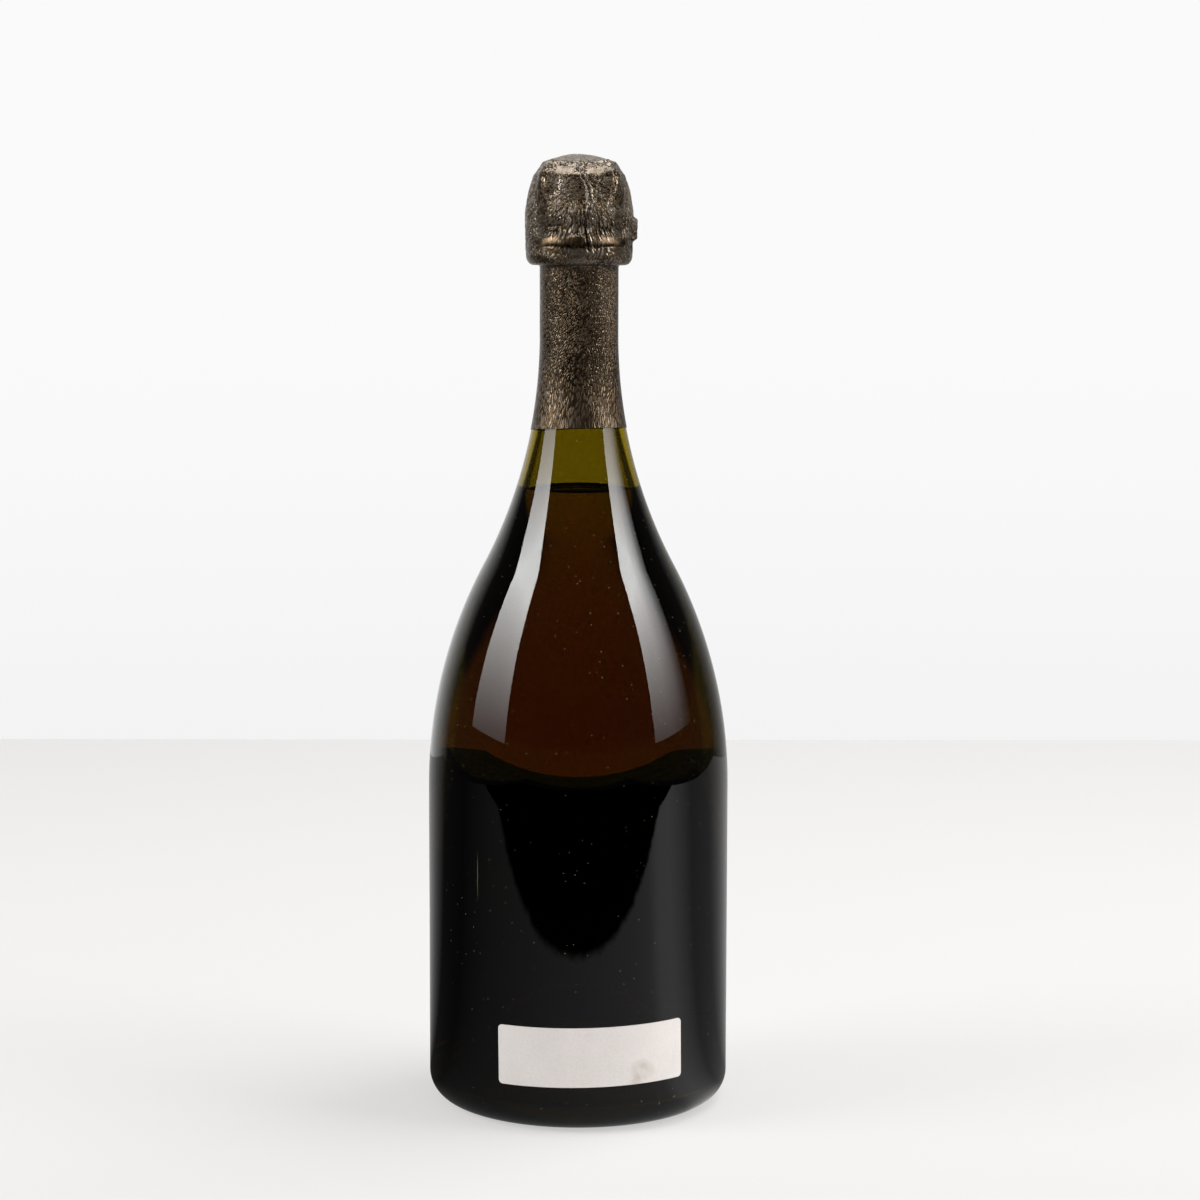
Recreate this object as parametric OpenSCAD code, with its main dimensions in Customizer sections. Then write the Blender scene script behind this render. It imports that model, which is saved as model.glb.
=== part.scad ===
// Champagne bottle with its wine, cork, wire cage, foil and paper labels.
// It stands on z = 0 with its axis on Z. The strip label is on the -Y side and
// the front label on the +Y side. Angles are turned from -Y towards +X.

/* [Glass body] */
// Outside radius of the straight body
body_r = 46.5; // [44:0.5:50]
// Height where the straight body ends and the shoulder begins
shoulder_z = 98.5; // [88:0.5:108]
// Height where the neck becomes straight
neck_z = 238; // [228:1:248]
// Outside radius of the straight neck
neck_r = 11.85; // [11.5:0.05:12.2]
// Share of the shoulder curve that bulges outwards
bulge_share = 0.494; // [0.42:0.002:0.56]
// Thickness of the body wall
wall = 5; // [4:0.1:6]
// Radius of the rounded heel
heel_r = 8.6; // [7:0.1:11]
// Width of the flat ring that the bottle stands on
foot_w = 3.4; // [2:0.1:5]
// Height of the hollow under the base
punt_h = 32; // [18:1:42]
// Thickness of the glass over the hollow
floor_t = 6.5; // [4:0.1:9]

/* [Mouth] */
// Radius of the bore
bore_r = 8.75; // [8.3:0.05:9]
// Height of the underside of the ring
ring_z = 259.4; // [255:0.2:265]
// Outside radius of the ring
ring_r = 15.8; // [15.2:0.1:16]
// Height of the ring
ring_h = 4.85; // [4.2:0.05:6]
// Radius at the bottom of the groove above the ring
groove_r = 12.5; // [12:0.1:12.6]
// Height of the groove, which holds the belt wire
groove_h = 3.1; // [3.1:0.05:3.6]
// Outside radius of the lip
lip_r = 14.2; // [14:0.05:14.4]
// Height of the lip
lip_h = 4.65; // [4:0.05:6]

/* [Wine] */
// Height of the wine's surface
fill_z = 191; // [150:1:200]

/* [Cork] */
// Length of cork inside the neck
cork_in = 26; // [20:0.5:30]
// Thickness of each natural disc
disc_t = 5.5; // [4:0.5:7]
// Largest radius of the head
head_r = 15; // [14.4:0.1:15.2]
// Height of the head above the mouth
head_h = 16.35; // [15:0.05:18]

/* [Cap plate] */
// Outside radius of the plate's rim
plate_r = 13.5; // [13.2:0.1:13.7]
// Thickness of the sheet
plate_t = 0.3; // [0.2:0.05:0.4]
// Height of the domed middle above the seat of the wire
button_h = 3.7; // [2:0.1:4]

/* [Wire cage] */
// Thickness of the wire
wire_d = 0.95; // [0.8:0.05:1]
// Thickness of the belt wire
belt_d = 0.8; // [0.7:0.05:0.85]
// Radius of the ring on the plate
top_ring_r = 10.7; // [10.4:0.1:10.9]
// Turns of twist in each leg
leg_turns = 4.5; // [2:0.5:6]
// Angle where the key's stem leaves the belt
key_angle = 88; // [70:2:100]
// Angle that the stem and the loop of the key take up
key_span = 38; // [30:2:40]

/* [Foil] */
// Thickness of the foil
foil_t = 0.15; // [0.1:0.05:0.2]
// Height of the foil's lower edge
skirt_z = 209.7; // [200:0.5:225]
// Height of the line where the foil tears above the underside of the ring
tear_up = 2.9; // [2.4:0.1:3.6]

/* [Labels] */
// Thickness of the paper
paper_t = 0.15; // [0.1:0.05:0.25]
// Length of the strip label round the body
strip_w = 59; // [40:1:70]
// Height of the strip label
strip_h = 18.2; // [12:0.2:24]
// Height of the strip label's centre
strip_z = 23.7; // [20:0.1:30]
// Angle of the strip label's centre
strip_angle = 5.5; // [-10:0.5:10]
// Slope of the strip label
strip_tilt = 0.7; // [-3:0.1:3]
// Corner radius of the strip label
strip_corner = 1.3; // [0.5:0.1:4]
// Length of the front label round the body
front_w = 88; // [60:1:100]
// Height of the front label
front_h = 86.5; // [60:0.5:90]
// Height of the front label's lower edge
front_z = 16; // [14:0.5:20]
// Corner radius of the front label
front_corner = 4; // [1:0.5:10]
// Depth of the bow in the front label's upper edge
front_dip = 7.5; // [3:0.5:12]
// Width of the bow
front_dip_w = 32; // [24:1:44]

/* [Hidden] */
$fn = 96;
// Steps along an arc of an outline
arc_steps = 16;
overrun = 1;

// Clearances
glue_gap = 0.05;
wine_gap = 0.1;
cork_fit = 0.05;
leg_gap = 0.1;
hood_gap = 0.15;
press_gap = 0.15;

// Heights of the mouth, from the ring up
groove_z = ring_z + ring_h;
lip_z = groove_z + groove_h;
mouth_z = lip_z + lip_h;
ring_round = 2;
ring_top_round = 0.9;
lip_round = 1.5;
neck_fillet = 0.8;
mouth_round = 1;

// The outside shoulder: two arcs that meet with one slope
curve_h = neck_z - shoulder_z;
bulge_r = arcs_sum(body_r - neck_r) * bulge_share;
waist_r = arcs_sum(body_r - neck_r) - bulge_r;
meet_angle = 2 * atan2(body_r - neck_r, curve_h);

// The inside shoulder
in_r = body_r - wall;
in_bulge_r = arcs_sum(in_r - bore_r) * bulge_share;
in_waist_r = arcs_sum(in_r - bore_r) - in_bulge_r;
in_meet_angle = 2 * atan2(in_r - bore_r, curve_h);

// The base
foot_out_r = body_r - heel_r;
foot_in_r = foot_out_r - foot_w;
in_heel_r = heel_r - wall;

// The cork
shaft_r = bore_r - cork_fit;
cork_end_z = mouth_z - cork_in;
cork_top_z = mouth_z + head_h;
head_foot_share = 0.89;
head_belly_share = 0.34;
head_neck_share = 0.8;

// The cap plate, which sits on the cork's top
seat_z = cork_top_z + glue_gap + plate_t;
seat_half_w = 0.85;
button_r = top_ring_r - seat_half_w - plate_t;
button_edge_share = 0.47;
bevel_h = 2.5;
rim_h = 1.2;
rim_z = seat_z - bevel_h;

// The legs: two wires laid together, squeezed a little into each other
squeeze_share = 0.9;
pair_r = wire_d * squeeze_share;
legs = 4;
leg_angle = 45;
leg_r = lip_r + leg_gap + pair_r;
groove_cut_r = pair_r + 2 * press_gap;
leg_z = lip_z + glue_gap;
leg_end_r = pair_r * 0.7;
leg_sides = 8;
leg_straight_z = mouth_z + 0.25 * head_h;
leg_steps = 46;

// The belt and the eyes that it runs through
belt_z = groove_z + groove_h / 2;
eye_wire_r = 0.42;
eye_r = belt_d / 2 + eye_wire_r + leg_gap;
belt_r = groove_r + leg_gap + eye_wire_r + eye_r;
belt_steps = 44;

// The key: the belt's two ends twisted into a stem that lies over to the side, and a loop
key_r = leg_r + pair_r + belt_d / 2 + leg_gap / 2;
key_z = lip_z + 0.6 * lip_h;
key_half_h = 1.7;
strand_gap = 0.06;
strand_off = (belt_d + strand_gap) / 2;
strand_steps = 18;
stem_turns = 1;
stem_span = 0.42 * key_span;
key_run = (key_span - stem_span) * key_r * PI / 180;
opening_share = 0.5;
bend_angle = 13;
bend_steps = 6;
wire_sides = 8;

// The hood, from the tear line up
tear_z = ring_z + tear_up;
hood_in_r = leg_r + pair_r + hood_gap;
crown_share = 0.81;
hood_belly = 0.45;
hood_cols = 48;
hood_rows = [10, 6, 4, 1, 1, 1, 1, 1];
ridge_h = 2;
ridge_runs = 2.4;
ridge_half_angle = 15;
hood_outline = concat(
    [
        [hood_in_r, tear_z],
        [hood_in_r, leg_straight_z - 0.06 * head_h],
        [plate_r + hood_gap, rim_z + hood_gap],
        [plate_r * crown_share, seat_z + wire_d + 2 * hood_gap + leg_gap]
    ],
    [for (s = [1:-0.2:0]) [button_r * s, button_z(s) + hood_gap]]
);

// Height of the plate's domed middle at a share of its radius
function button_z(s) = seat_z + button_h * (button_edge_share + (1 - button_edge_share) * cos(90 * s));

function arcs_sum(drop) = (drop ^ 2 + curve_h ^ 2) / (2 * drop);

// Points of an arc about c, from angle a to angle b
function arc(c, r, a, b, steps = arc_steps) =
    [for (i = [0:steps]) let (t = a + (b - a) * i / steps) c + r * [cos(t), sin(t)]];

// A shoulder from the body up to the neck: bulge arc, then waist arc
function shoulder(top_r, low_r, out_arc, in_arc, angle) = concat(
    arc([low_r - out_arc, shoulder_z], out_arc, 0, angle),
    arc([top_r + in_arc, neck_z], in_arc, 180 + angle, 180)
);

// The shoulder of the outside, moved out by a gap
function outer_shoulder(gap) =
    shoulder(neck_r + gap, body_r + gap, bulge_r + gap, waist_r - gap, meet_angle);

// The inside from the middle of the floor up to the neck, moved in by a gap
function inner_outline(gap) = concat(
    [for (i = [0:arc_steps]) let (s = i / arc_steps)
        [foot_out_r * s, floor_t + gap + punt_h * cos(90 * s)]],
    arc([foot_out_r, floor_t + in_heel_r], in_heel_r - gap, -90, 0),
    shoulder(bore_r - gap, in_r - gap, in_bulge_r - gap, in_waist_r + gap, in_meet_angle)
);

// A point along straight runs, where t counts runs from 0
function along(runs, t) =
    let (i = min(floor(t), len(runs) - 2), s = t - i) runs[i] * (1 - s) + runs[i + 1] * s;

// A cubic curve with the four points p
function bezier(p, t) = let (u = 1 - t)
    u ^ 3 * p[0] + 3 * u ^ 2 * t * p[1] + 3 * u * t ^ 2 * p[2] + t ^ 3 * p[3];

// Goes from 0 to 1 with no slope at either end
function eased(s) = (1 - cos(180 * s)) / 2;

// A point at radius p.x, height p.y and an angle from -Y towards +X
function place(p, angle) = [p.x * sin(angle), -p.x * cos(angle), p.y];

function unit(v) = v / norm(v);
function reversed(list) = [for (i = [len(list) - 1:-1:0]) list[i]];

// Side faces between rings of n points, and the two closing faces
function side_faces(rings, n) = [
    for (i = [0:rings - 2], j = [0:n - 1])
        let (a = i * n + j, b = i * n + (j + 1) % n)
        each [[a, b + n, b], [a, a + n, b + n]]
];
function cap_faces(rings, n) = [
    [for (j = [0:n - 1]) j],
    [for (j = [n - 1:-1:0]) (rings - 1) * n + j]
];

// A solid through rings of points, closed at both ends
module through(rings) {
    n = len(rings[0]);
    polyhedron([for (r = rings) each r], concat(side_faces(len(rings), n), cap_faces(len(rings), n)));
}

// Section of a twisted pair, twice as wide as it is thick
function pair_section(turn, r) = [
    for (j = [0:leg_sides - 1])
        let (a = -360 * j / leg_sides, w = r * (1 + abs(cos(a))) / 2)
        w * [cos(a + turn), sin(a + turn)]
];

// A twisted pair along a path that lies in one plane with the axis, of radius r at its
// start and narrowing to end_r over its last third
module twisted_pair(path, turns, r, end_r) {
    last = len(path) - 1;
    through([
        for (i = [0:last])
            let (
                t = unit(path[min(i + 1, last)] - path[max(i - 1, 0)]),
                side = unit([-path[i].y, path[i].x, 0]),
                up = cross(side, t),
                now_r = r + (end_r - r) * max(0, 3 * i / last - 2)
            )
            [for (p = pair_section(360 * turns * i / last, now_r)) path[i] + p.x * side + p.y * up]
    ]);
}

module turned(points) {
    rotate_extrude() polygon(points);
}

module bottle_glass() {
    color("darkolivegreen") turned(concat(
        [for (i = [0:arc_steps]) let (s = i / arc_steps) [foot_in_r * s, punt_h * cos(90 * s)]],
        arc([foot_out_r, heel_r], heel_r, -90, 0),
        outer_shoulder(0),
        arc([neck_r + neck_fillet, ring_z - neck_fillet], neck_fillet, 180, 90, 4),
        arc([ring_r - ring_round, ring_z + ring_round], ring_round, -90, 0, 8),
        arc([ring_r - ring_top_round, groove_z - ring_top_round], ring_top_round, 0, 90, 5),
        [[groove_r, groove_z], [groove_r, lip_z]],
        arc([lip_r - lip_round, lip_z + lip_round], lip_round, -90, 0, 7),
        arc([lip_r - lip_round, mouth_z - lip_round], lip_round, 0, 90, 7),
        arc([bore_r + mouth_round, mouth_z - mouth_round], mouth_round, 90, 180, 5),
        reversed(inner_outline(0))
    ));
}

module wine() {
    color("saddlebrown") intersection() {
        turned(concat(inner_outline(wine_gap), [[0, neck_z]]));
        cylinder(r = body_r, h = fill_z);
    }
}

module foil_skirt() {
    color("darkgoldenrod") difference() {
        skirt_solid(glue_gap + foil_t);
        skirt_solid(glue_gap);
        cylinder(r = 2 * body_r, h = skirt_z);
    }
}

// What the skirt's surface encloses, from the shoulder up to the tear line
module skirt_solid(gap) {
    turned(concat(
        [[0, shoulder_z]],
        outer_shoulder(gap),
        arc([neck_r + neck_fillet, ring_z - neck_fillet], neck_fillet - gap, 180, 90, 4),
        arc([ring_r - ring_round, ring_z + ring_round], ring_round + gap, -90, 0, 8),
        [[ring_r + gap, tear_z - glue_gap], [0, tear_z - glue_gap]]
    ));
}

// A sheet of paper on the body, w long and h high, before it is turned to its place
module label(w, h, corner, tilt) {
    half = body_r * sin(w / 2 / body_r * 180 / PI);
    intersection() {
        difference() {
            cylinder(r = body_r + glue_gap + paper_t, h = h + body_r, center = true);
            cylinder(r = body_r + glue_gap, h = h + body_r + 2 * overrun, center = true);
        }
        rotate([90, 0, 0]) rotate(tilt) linear_extrude(body_r + 2 * overrun) {
            square([2 * half, h - 2 * corner], center = true);
            square([2 * (half - corner), h], center = true);
            for (x = [-1, 1], y = [-1, 1])
                translate([x * (half - corner), y * (h / 2 - corner)]) circle(corner);
        }
    }
}

module strip_label() {
    color("linen") translate([0, 0, strip_z]) rotate(strip_angle)
        label(strip_w, strip_h, strip_corner, strip_tilt);
}

module front_label() {
    bow_r = (pow(front_dip_w / 2, 2) + pow(front_dip, 2)) / (2 * front_dip);
    color("wheat") rotate(180) difference() {
        translate([0, 0, front_z + front_h / 2]) label(front_w, front_h, front_corner, 0);
        translate([0, 0, front_z + front_h + bow_r - front_dip]) rotate([90, 0, 0])
            cylinder(r = bow_r, h = body_r + 2 * overrun);
    }
}

module cork_body() {
    foot_r = head_r * head_foot_share;
    neck = plate_r - plate_t - press_gap - glue_gap;
    start_z = mouth_z + cork_fit;
    belly_z = mouth_z + head_h * head_belly_share;
    color("burlywood") difference() {
        turned(concat(
            [[0, cork_end_z + 2 * disc_t], [shaft_r, cork_end_z + 2 * disc_t]],
            [[shaft_r, start_z]],
            [for (s = [0:0.125:1])
                [foot_r + (head_r - foot_r) * sin(90 * s), start_z + (belly_z - start_z) * s]],
            [for (s = [0.125:0.125:1])
                [neck + (head_r - neck) * cos(90 * s), belly_z + (rim_z - rim_h - belly_z) * s]],
            [[neck, rim_z - press_gap], [neck - bevel_h * head_neck_share, cork_top_z], [0, cork_top_z]]
        ));
        at_legs() translate([leg_r, 0, mouth_z - overrun])
            cylinder(r = groove_cut_r, h = head_h + 2 * overrun);
    }
}

// Its children at the angle of each leg
module at_legs() {
    for (i = [0:legs - 1]) rotate(leg_angle + 360 / legs * i) children();
}

module cork_disc(z) {
    translate([0, 0, z]) cylinder(r = shaft_r, h = disc_t);
}

module cork_disc_upper() {
    color("peru") cork_disc(cork_end_z + disc_t);
}

module cork_disc_lower() {
    color("tan") cork_disc(cork_end_z);
}

// The domed middle of the plate
function button(r, t) = [for (s = [0:0.125:1]) [(r - t) * s, button_z(s) - t]];

module cap_plate() {
    seat_out = top_ring_r + seat_half_w;
    color("slategray") turned(concat(
        reversed(button(button_r, plate_t)),
        button(button_r, 0),
        [[button_r + plate_t, seat_z], [seat_out, seat_z], [plate_r, rim_z], [plate_r, rim_z - rim_h]],
        [[plate_r - plate_t, rim_z - rim_h], [plate_r - plate_t, rim_z - plate_t / 2]],
        [[seat_out - plate_t / 2, seat_z - plate_t], [button_r - plate_t, seat_z - plate_t]]
    ));
}

// The path of a leg at its angle: straight up past the lip, over the rim, in to the top ring
function leg_path(angle) =
    let (
        end_z = seat_z + leg_gap + leg_end_r,
        bend = [
            [leg_r, leg_straight_z],
            [leg_r, rim_z - bevel_h],
            [plate_r + pair_r + 0.35 * wire_d, seat_z - 0.5 * wire_d],
            [top_ring_r + 1.4 * wire_d, end_z]
        ]
    )
    [for (i = [0:leg_steps]) let (t = 3 * i / leg_steps)
        place(
            t < 1 ? along([[leg_r, leg_z], bend[0]], t)
            : t < 2.5 ? bezier(bend, (t - 1) / 1.5)
            : along([bend[3], [top_ring_r, end_z]], (t - 2.5) * 2),
            angle
        )];

module cage_wire() {
    color("silver") {
        translate([0, 0, seat_z + leg_gap / 2]) rotate_extrude()
            translate([top_ring_r, wire_d / 2]) circle(wire_d / 2, $fn = 24);
        for (i = [0:legs - 1])
            twisted_pair(leg_path(leg_angle + 360 / legs * i), leg_turns, pair_r, leg_end_r);
    }
}

module leg_eyes() {
    color("silver") at_legs() translate([0, 0, belt_z]) {
        translate([belt_r, 0, 0]) rotate([90, 0, 0]) rotate_extrude()
            translate([eye_r, 0]) circle(eye_wire_r, $fn = 24);
        translate([leg_r, 0, eye_r / 2]) cylinder(r = eye_wire_r, h = leg_z - belt_z - eye_r / 2);
    }
}

// The middle of the key's stem at share s of its length
function stem(s) = bezier([
    place([belt_r + belt_d, belt_z + belt_d], key_angle),
    place([leg_r, lip_z + lip_h / 4], key_angle),
    place([leg_r, key_z], key_angle + stem_span / 2),
    place([key_r, key_z], key_angle + stem_span)
], s);

// One strand of the stem at share s, which winds about its middle from the angle start
function strand(s, start) =
    let (
        t = unit(stem(s + 0.01) - stem(s - 0.01)),
        up = unit(cross([stem(s).x, stem(s).y, 0], t)),
        a = start + 360 * stem_turns * eased(s)
    )
    stem(s) + strand_off * (cos(a) * up + sin(a) * cross(t, up));

// The bend from the belt up into the strand at the angle start, on the side with that sign
function bend(sign, start) = [for (i = [1:bend_steps - 1]) bezier([
    place([belt_r, belt_z], key_angle + sign * bend_angle),
    place([belt_r, belt_z], key_angle + sign * bend_angle / 2),
    strand(0, start) + stem(0) - stem(0.2),
    strand(0, start)
], i / bend_steps)];

// The key's loop in the flat, along and across, up to the middle of its round end
function half_key(sign) = concat(
    [for (s = [0.125:0.125:1])
        [key_run * opening_share * s, sign * (strand_off + (key_half_h - strand_off) * eased(s))]],
    arc([key_run - key_half_h, 0], key_half_h, sign * 90, sign * 15, 4)
);

// One wire: round the groove, up a strand, round the key's loop and down the other strand
module belt_wire() {
    key = concat(half_key(1), [[key_run, 0]], reversed(half_key(-1)));
    color("gainsboro") closed_wire(concat(
        [for (i = [0:belt_steps])
            place([belt_r, belt_z], key_angle + bend_angle + (360 - 2 * bend_angle) * i / belt_steps)],
        bend(-1, 0),
        [for (i = [0:strand_steps]) strand(i / strand_steps, 0)],
        [for (p = key) place([key_r, key_z + p.y], key_angle + stem_span + p.x / key_r * 180 / PI)],
        [for (i = [strand_steps:-1:0]) strand(i / strand_steps, 180)],
        reversed(bend(1, 180))
    ), belt_d / 2);
}

// A closed ring of wire of radius r through the points of path
module closed_wire(path, r) {
    count = len(path);
    n = wire_sides;
    points = [
        for (i = [0:count - 1])
            let (
                t = unit(path[(i + 1) % count] - path[(i + count - 1) % count]),
                up = unit(cross([path[i].x, path[i].y, 0], t)),
                out = cross(t, up)
            )
            for (j = [0:n - 1]) let (a = -360 * j / n) path[i] + r * (cos(a) * out + sin(a) * up)
    ];
    last_ring = [for (j = [0:n - 1])
        let (a = (count - 1) * n + j, b = (count - 1) * n + (j + 1) % n, c = (j + 1) % n)
        each [[a, c, b], [a, j, c]]];
    polyhedron(points, concat(side_faces(count, n), last_ring));
}

// How far the hood stands out over a leg, t runs up the outline
function ridge(t, angle) =
    let (
        near = abs((angle - leg_angle + 180 / legs) % (360 / legs) - 180 / legs),
        across = near < ridge_half_angle ? cos(90 * near / ridge_half_angle) ^ 2 : 0
    )
    t > 1 && t < 1 + ridge_runs ? ridge_h * across * sin(180 * (t - 1) / ridge_runs) : 0;

// How far the hood stands out over the key
function key_bump(p, angle) =
    let (
        a = abs(angle - key_angle - key_span / 2) / (key_span / 2 + ridge_half_angle),
        z = abs(p.y - key_z) / (key_half_h + 3 * wire_d),
        full = wire_d + leg_gap
    )
    a < 1 && z < 1 ? full * min(1, 2 * cos(90 * a)) * min(1, 2 * cos(90 * z)) : 0;

// A point of the hood's inner face, t runs up the outline, moved out by a gap
function hood_point(t, angle, gap) =
    let (
        p = along(hood_outline, t) + [t > 1 && t < 2 ? hood_belly * sin(180 * (t - 1)) : 0, 0],
        out = unit([p.x, max(0, p.y - leg_straight_z)] + [p.x == 0 ? 0 : foil_t, 0])
    )
    place(p + (gap + ridge(t, angle) + (t < 1.5 ? key_bump(p, angle) : 0)) * out, angle);

module foil_hood() {
    steps = [for (run = [0:len(hood_rows) - 1], k = [0:hood_rows[run] - 1]) run + k / hood_rows[run]];
    n = hood_cols;
    m = len(steps);
    rings = [for (gap = [0, foil_t], t = steps) [for (j = [0:n - 1]) hood_point(t, 360 * j / n, gap)]];
    top = button_z(0) + hood_gap;
    pole = 2 * m * n;
    inner = [for (f = side_faces(m, n)) reversed(f)];
    outer = [for (f = side_faces(m, n)) [for (v = f) v + m * n]];
    edge = [for (a = [0:n - 1]) let (b = (a + 1) % n)
        each [[b, a, b + m * n], [b + m * n, a, a + m * n]]];
    tops = [for (j = [0:n - 1]) let (a = (m - 1) * n + j, b = (m - 1) * n + (j + 1) % n)
        each [[a, b, pole], [b + m * n, a + m * n, pole + 1]]];
    color("darkgoldenrod") polyhedron(
        concat([for (r = rings) each r], [[0, 0, top], [0, 0, top + foil_t]]),
        concat(inner, outer, edge, tops)
    );
}

bottle_glass();
wine();
foil_skirt();
strip_label();
front_label();
cork_body();
cork_disc_upper();
cork_disc_lower();
cap_plate();
cage_wire();
leg_eyes();
belt_wire();
foil_hood();
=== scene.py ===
"""Champagne bottle: glass, wine, labels, cork, cap plate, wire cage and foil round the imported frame."""

import bpy
import numpy as np
from mathutils import Matrix, Vector


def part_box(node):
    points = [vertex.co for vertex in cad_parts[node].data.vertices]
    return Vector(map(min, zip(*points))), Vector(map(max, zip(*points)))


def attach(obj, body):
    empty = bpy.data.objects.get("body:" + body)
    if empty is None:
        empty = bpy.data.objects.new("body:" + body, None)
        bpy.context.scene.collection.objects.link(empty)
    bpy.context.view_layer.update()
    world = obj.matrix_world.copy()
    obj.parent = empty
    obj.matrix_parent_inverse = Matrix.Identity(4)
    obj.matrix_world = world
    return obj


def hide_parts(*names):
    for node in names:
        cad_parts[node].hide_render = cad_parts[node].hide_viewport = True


bl_info = {
    "name": "Champagne bottle",
    "version": (1, 0, 0),
    "blender": (4, 5, 0),
    "location": "3D View > Sidebar > Bottle",
    "description": "Makes the pieces of a champagne bottle round its construction frame",
    "category": "Object",
}

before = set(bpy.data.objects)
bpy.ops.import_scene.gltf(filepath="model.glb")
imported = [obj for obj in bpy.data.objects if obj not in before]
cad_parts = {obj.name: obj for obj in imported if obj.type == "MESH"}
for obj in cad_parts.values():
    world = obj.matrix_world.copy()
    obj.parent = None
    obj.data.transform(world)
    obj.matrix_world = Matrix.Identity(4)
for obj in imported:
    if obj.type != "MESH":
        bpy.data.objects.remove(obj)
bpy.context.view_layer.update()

MM = 0.001
WHOLE_TURN = 2 * np.pi
GLASS_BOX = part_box("bottle_glass")
HOOD_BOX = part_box("foil_hood")
WINE_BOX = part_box("wine")


def length(name, mm, description):
    """A size property, given in millimetres and held in metres."""
    return bpy.props.FloatProperty(
        name=name, description=description, default=mm * MM, subtype="DISTANCE", unit="LENGTH", precision=5
    )


def linear(code):
    """The linear colour of an sRGB hex code: (c + 0.055) / 1.055 to the power 2.4, or c / 12.92 when dark."""
    c = np.array([int(code[i : i + 2], 16) / 255 for i in (1, 3, 5)])
    return tuple(np.where(c > 0.04045, ((c + 0.055) / 1.055) ** 2.4, c / 12.92))


def colour(name, code, description):
    """A colour property, given as an sRGB hex code."""
    return bpy.props.FloatVectorProperty(
        name=name, description=description, default=linear(code), size=3, min=0, max=1, subtype="COLOR"
    )


class BottleSizes(bpy.types.PropertyGroup):
    """Sizes that the pieces are worked out from."""

    body_r: length("Body radius", GLASS_BOX[1].x / MM, "Outside radius of the straight body")
    shoulder_z: length("Shoulder height", 98.5, "Height where the shoulder begins")
    neck_z: length("Neck height", 238, "Height where the neck becomes straight")
    neck_r: length("Neck radius", 11.85, "Outside radius of the straight neck")
    wall: length("Wall", 5, "Thickness of the body wall")
    heel_r: length("Heel", 8.6, "Radius of the rounded heel")
    foot_w: length("Foot", 3.4, "Width of the ring that the bottle stands on")
    punt_h: length("Punt", 32, "Height of the hollow under the base")
    floor_t: length("Floor", 6.5, "Thickness of the glass over the hollow")
    bore_r: length("Bore", 8.75, "Radius of the bore")
    mouth_z: length("Mouth", GLASS_BOX[1].z / MM, "Height of the mouth")
    ring_z: length("Ring height", 259.4, "Height of the underside of the ring")
    ring_r: length("Ring radius", 15.8, "Outside radius of the ring")
    groove_z: length("Groove height", 264.25, "Height of the top of the ring")
    groove_r: length("Groove radius", 12.5, "Radius at the bottom of the groove")
    lip_z: length("Lip height", 267.35, "Height of the underside of the lip")
    lip_r: length("Lip radius", 14.2, "Outside radius of the lip")
    fill_z: length("Fill height", WINE_BOX[1].z / MM, "Height of the wine's surface")
    meniscus_h: length("Meniscus", 1.1, "Height that the wine climbs up the glass")
    meniscus_w: length("Meniscus width", 1.3, "Distance in which the wine's edge levels out")
    cork_in: length("Cork depth", 26, "Length of cork inside the neck")
    disc_t: length("Disc", 5.5, "Thickness of each natural disc")
    head_r: length("Cork head", 15, "Largest radius of the cork's head")
    head_h: length("Cork head height", 16.35, "Height of the cork's head above the mouth")
    plate_r: length("Plate radius", 13.5, "Outside radius of the cap plate's rim")
    plate_t: length("Plate thickness", 0.3, "Thickness of the cap plate's sheet")
    wire_d: length("Wire", 0.95, "Thickness of the cage's wire")
    belt_d: length("Belt wire", 0.8, "Thickness of the belt wire")
    top_ring_r: length("Top ring", 10.7, "Radius of the wire ring on the plate")
    foil_t: length("Foil", 0.15, "Thickness of the foil")
    tear_z: length("Tear line", HOOD_BOX[0].z / MM, "Height of the line where the foil tears")
    skirt_z: length("Foil edge", 209.7, "Middle height of the foil's lower edge")
    paper_t: length("Paper", 0.15, "Thickness of the labels")


class BottleColours(bpy.types.PropertyGroup):
    """Colours of the finishes."""

    glass: colour("Glass", "#a59c21", "What one face of the glass lets through")
    wine: colour("Wine", "#eceb3f", "What one face of the wine lets through")
    foil: colour("Foil", "#66543f", "Lacquered foil")
    # Pale foil: wear where the lacquer is thin on the creases, and painted highlight on the bevel, the roll,
    # the ring and the grain's beads
    foil_worn_and_lit: colour("Worn foil", "#8d8478", "Foil on its creases, where the lacquer is thin")
    # Painted shade in the foil's folds, the crimp and the grain's gaps
    foil_painted_shade: colour("Foil in folds", "#1a1610", "Foil deep in its folds")
    paper: colour("Paper", "#d9d3cf", "Strip label paper")
    stain: colour("Stain", "#7a5230", "Stain on the strip label")
    cream: colour("Front label", "#cfc7a4", "Front label paper")
    ink: colour("Ink", "#2f3327", "Printed lines")
    cork: colour("Cork", "#c29566", "Agglomerate cork")
    cork_dark: colour("Cork grain", "#7b4c2a", "Dark grains in the cork")
    plate: colour("Cap plate", "#3a3128", "Lacquer of the cap plate")
    steel: colour("Steel", "#b9b8b4", "Galvanised wire")


# Shapes


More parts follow.
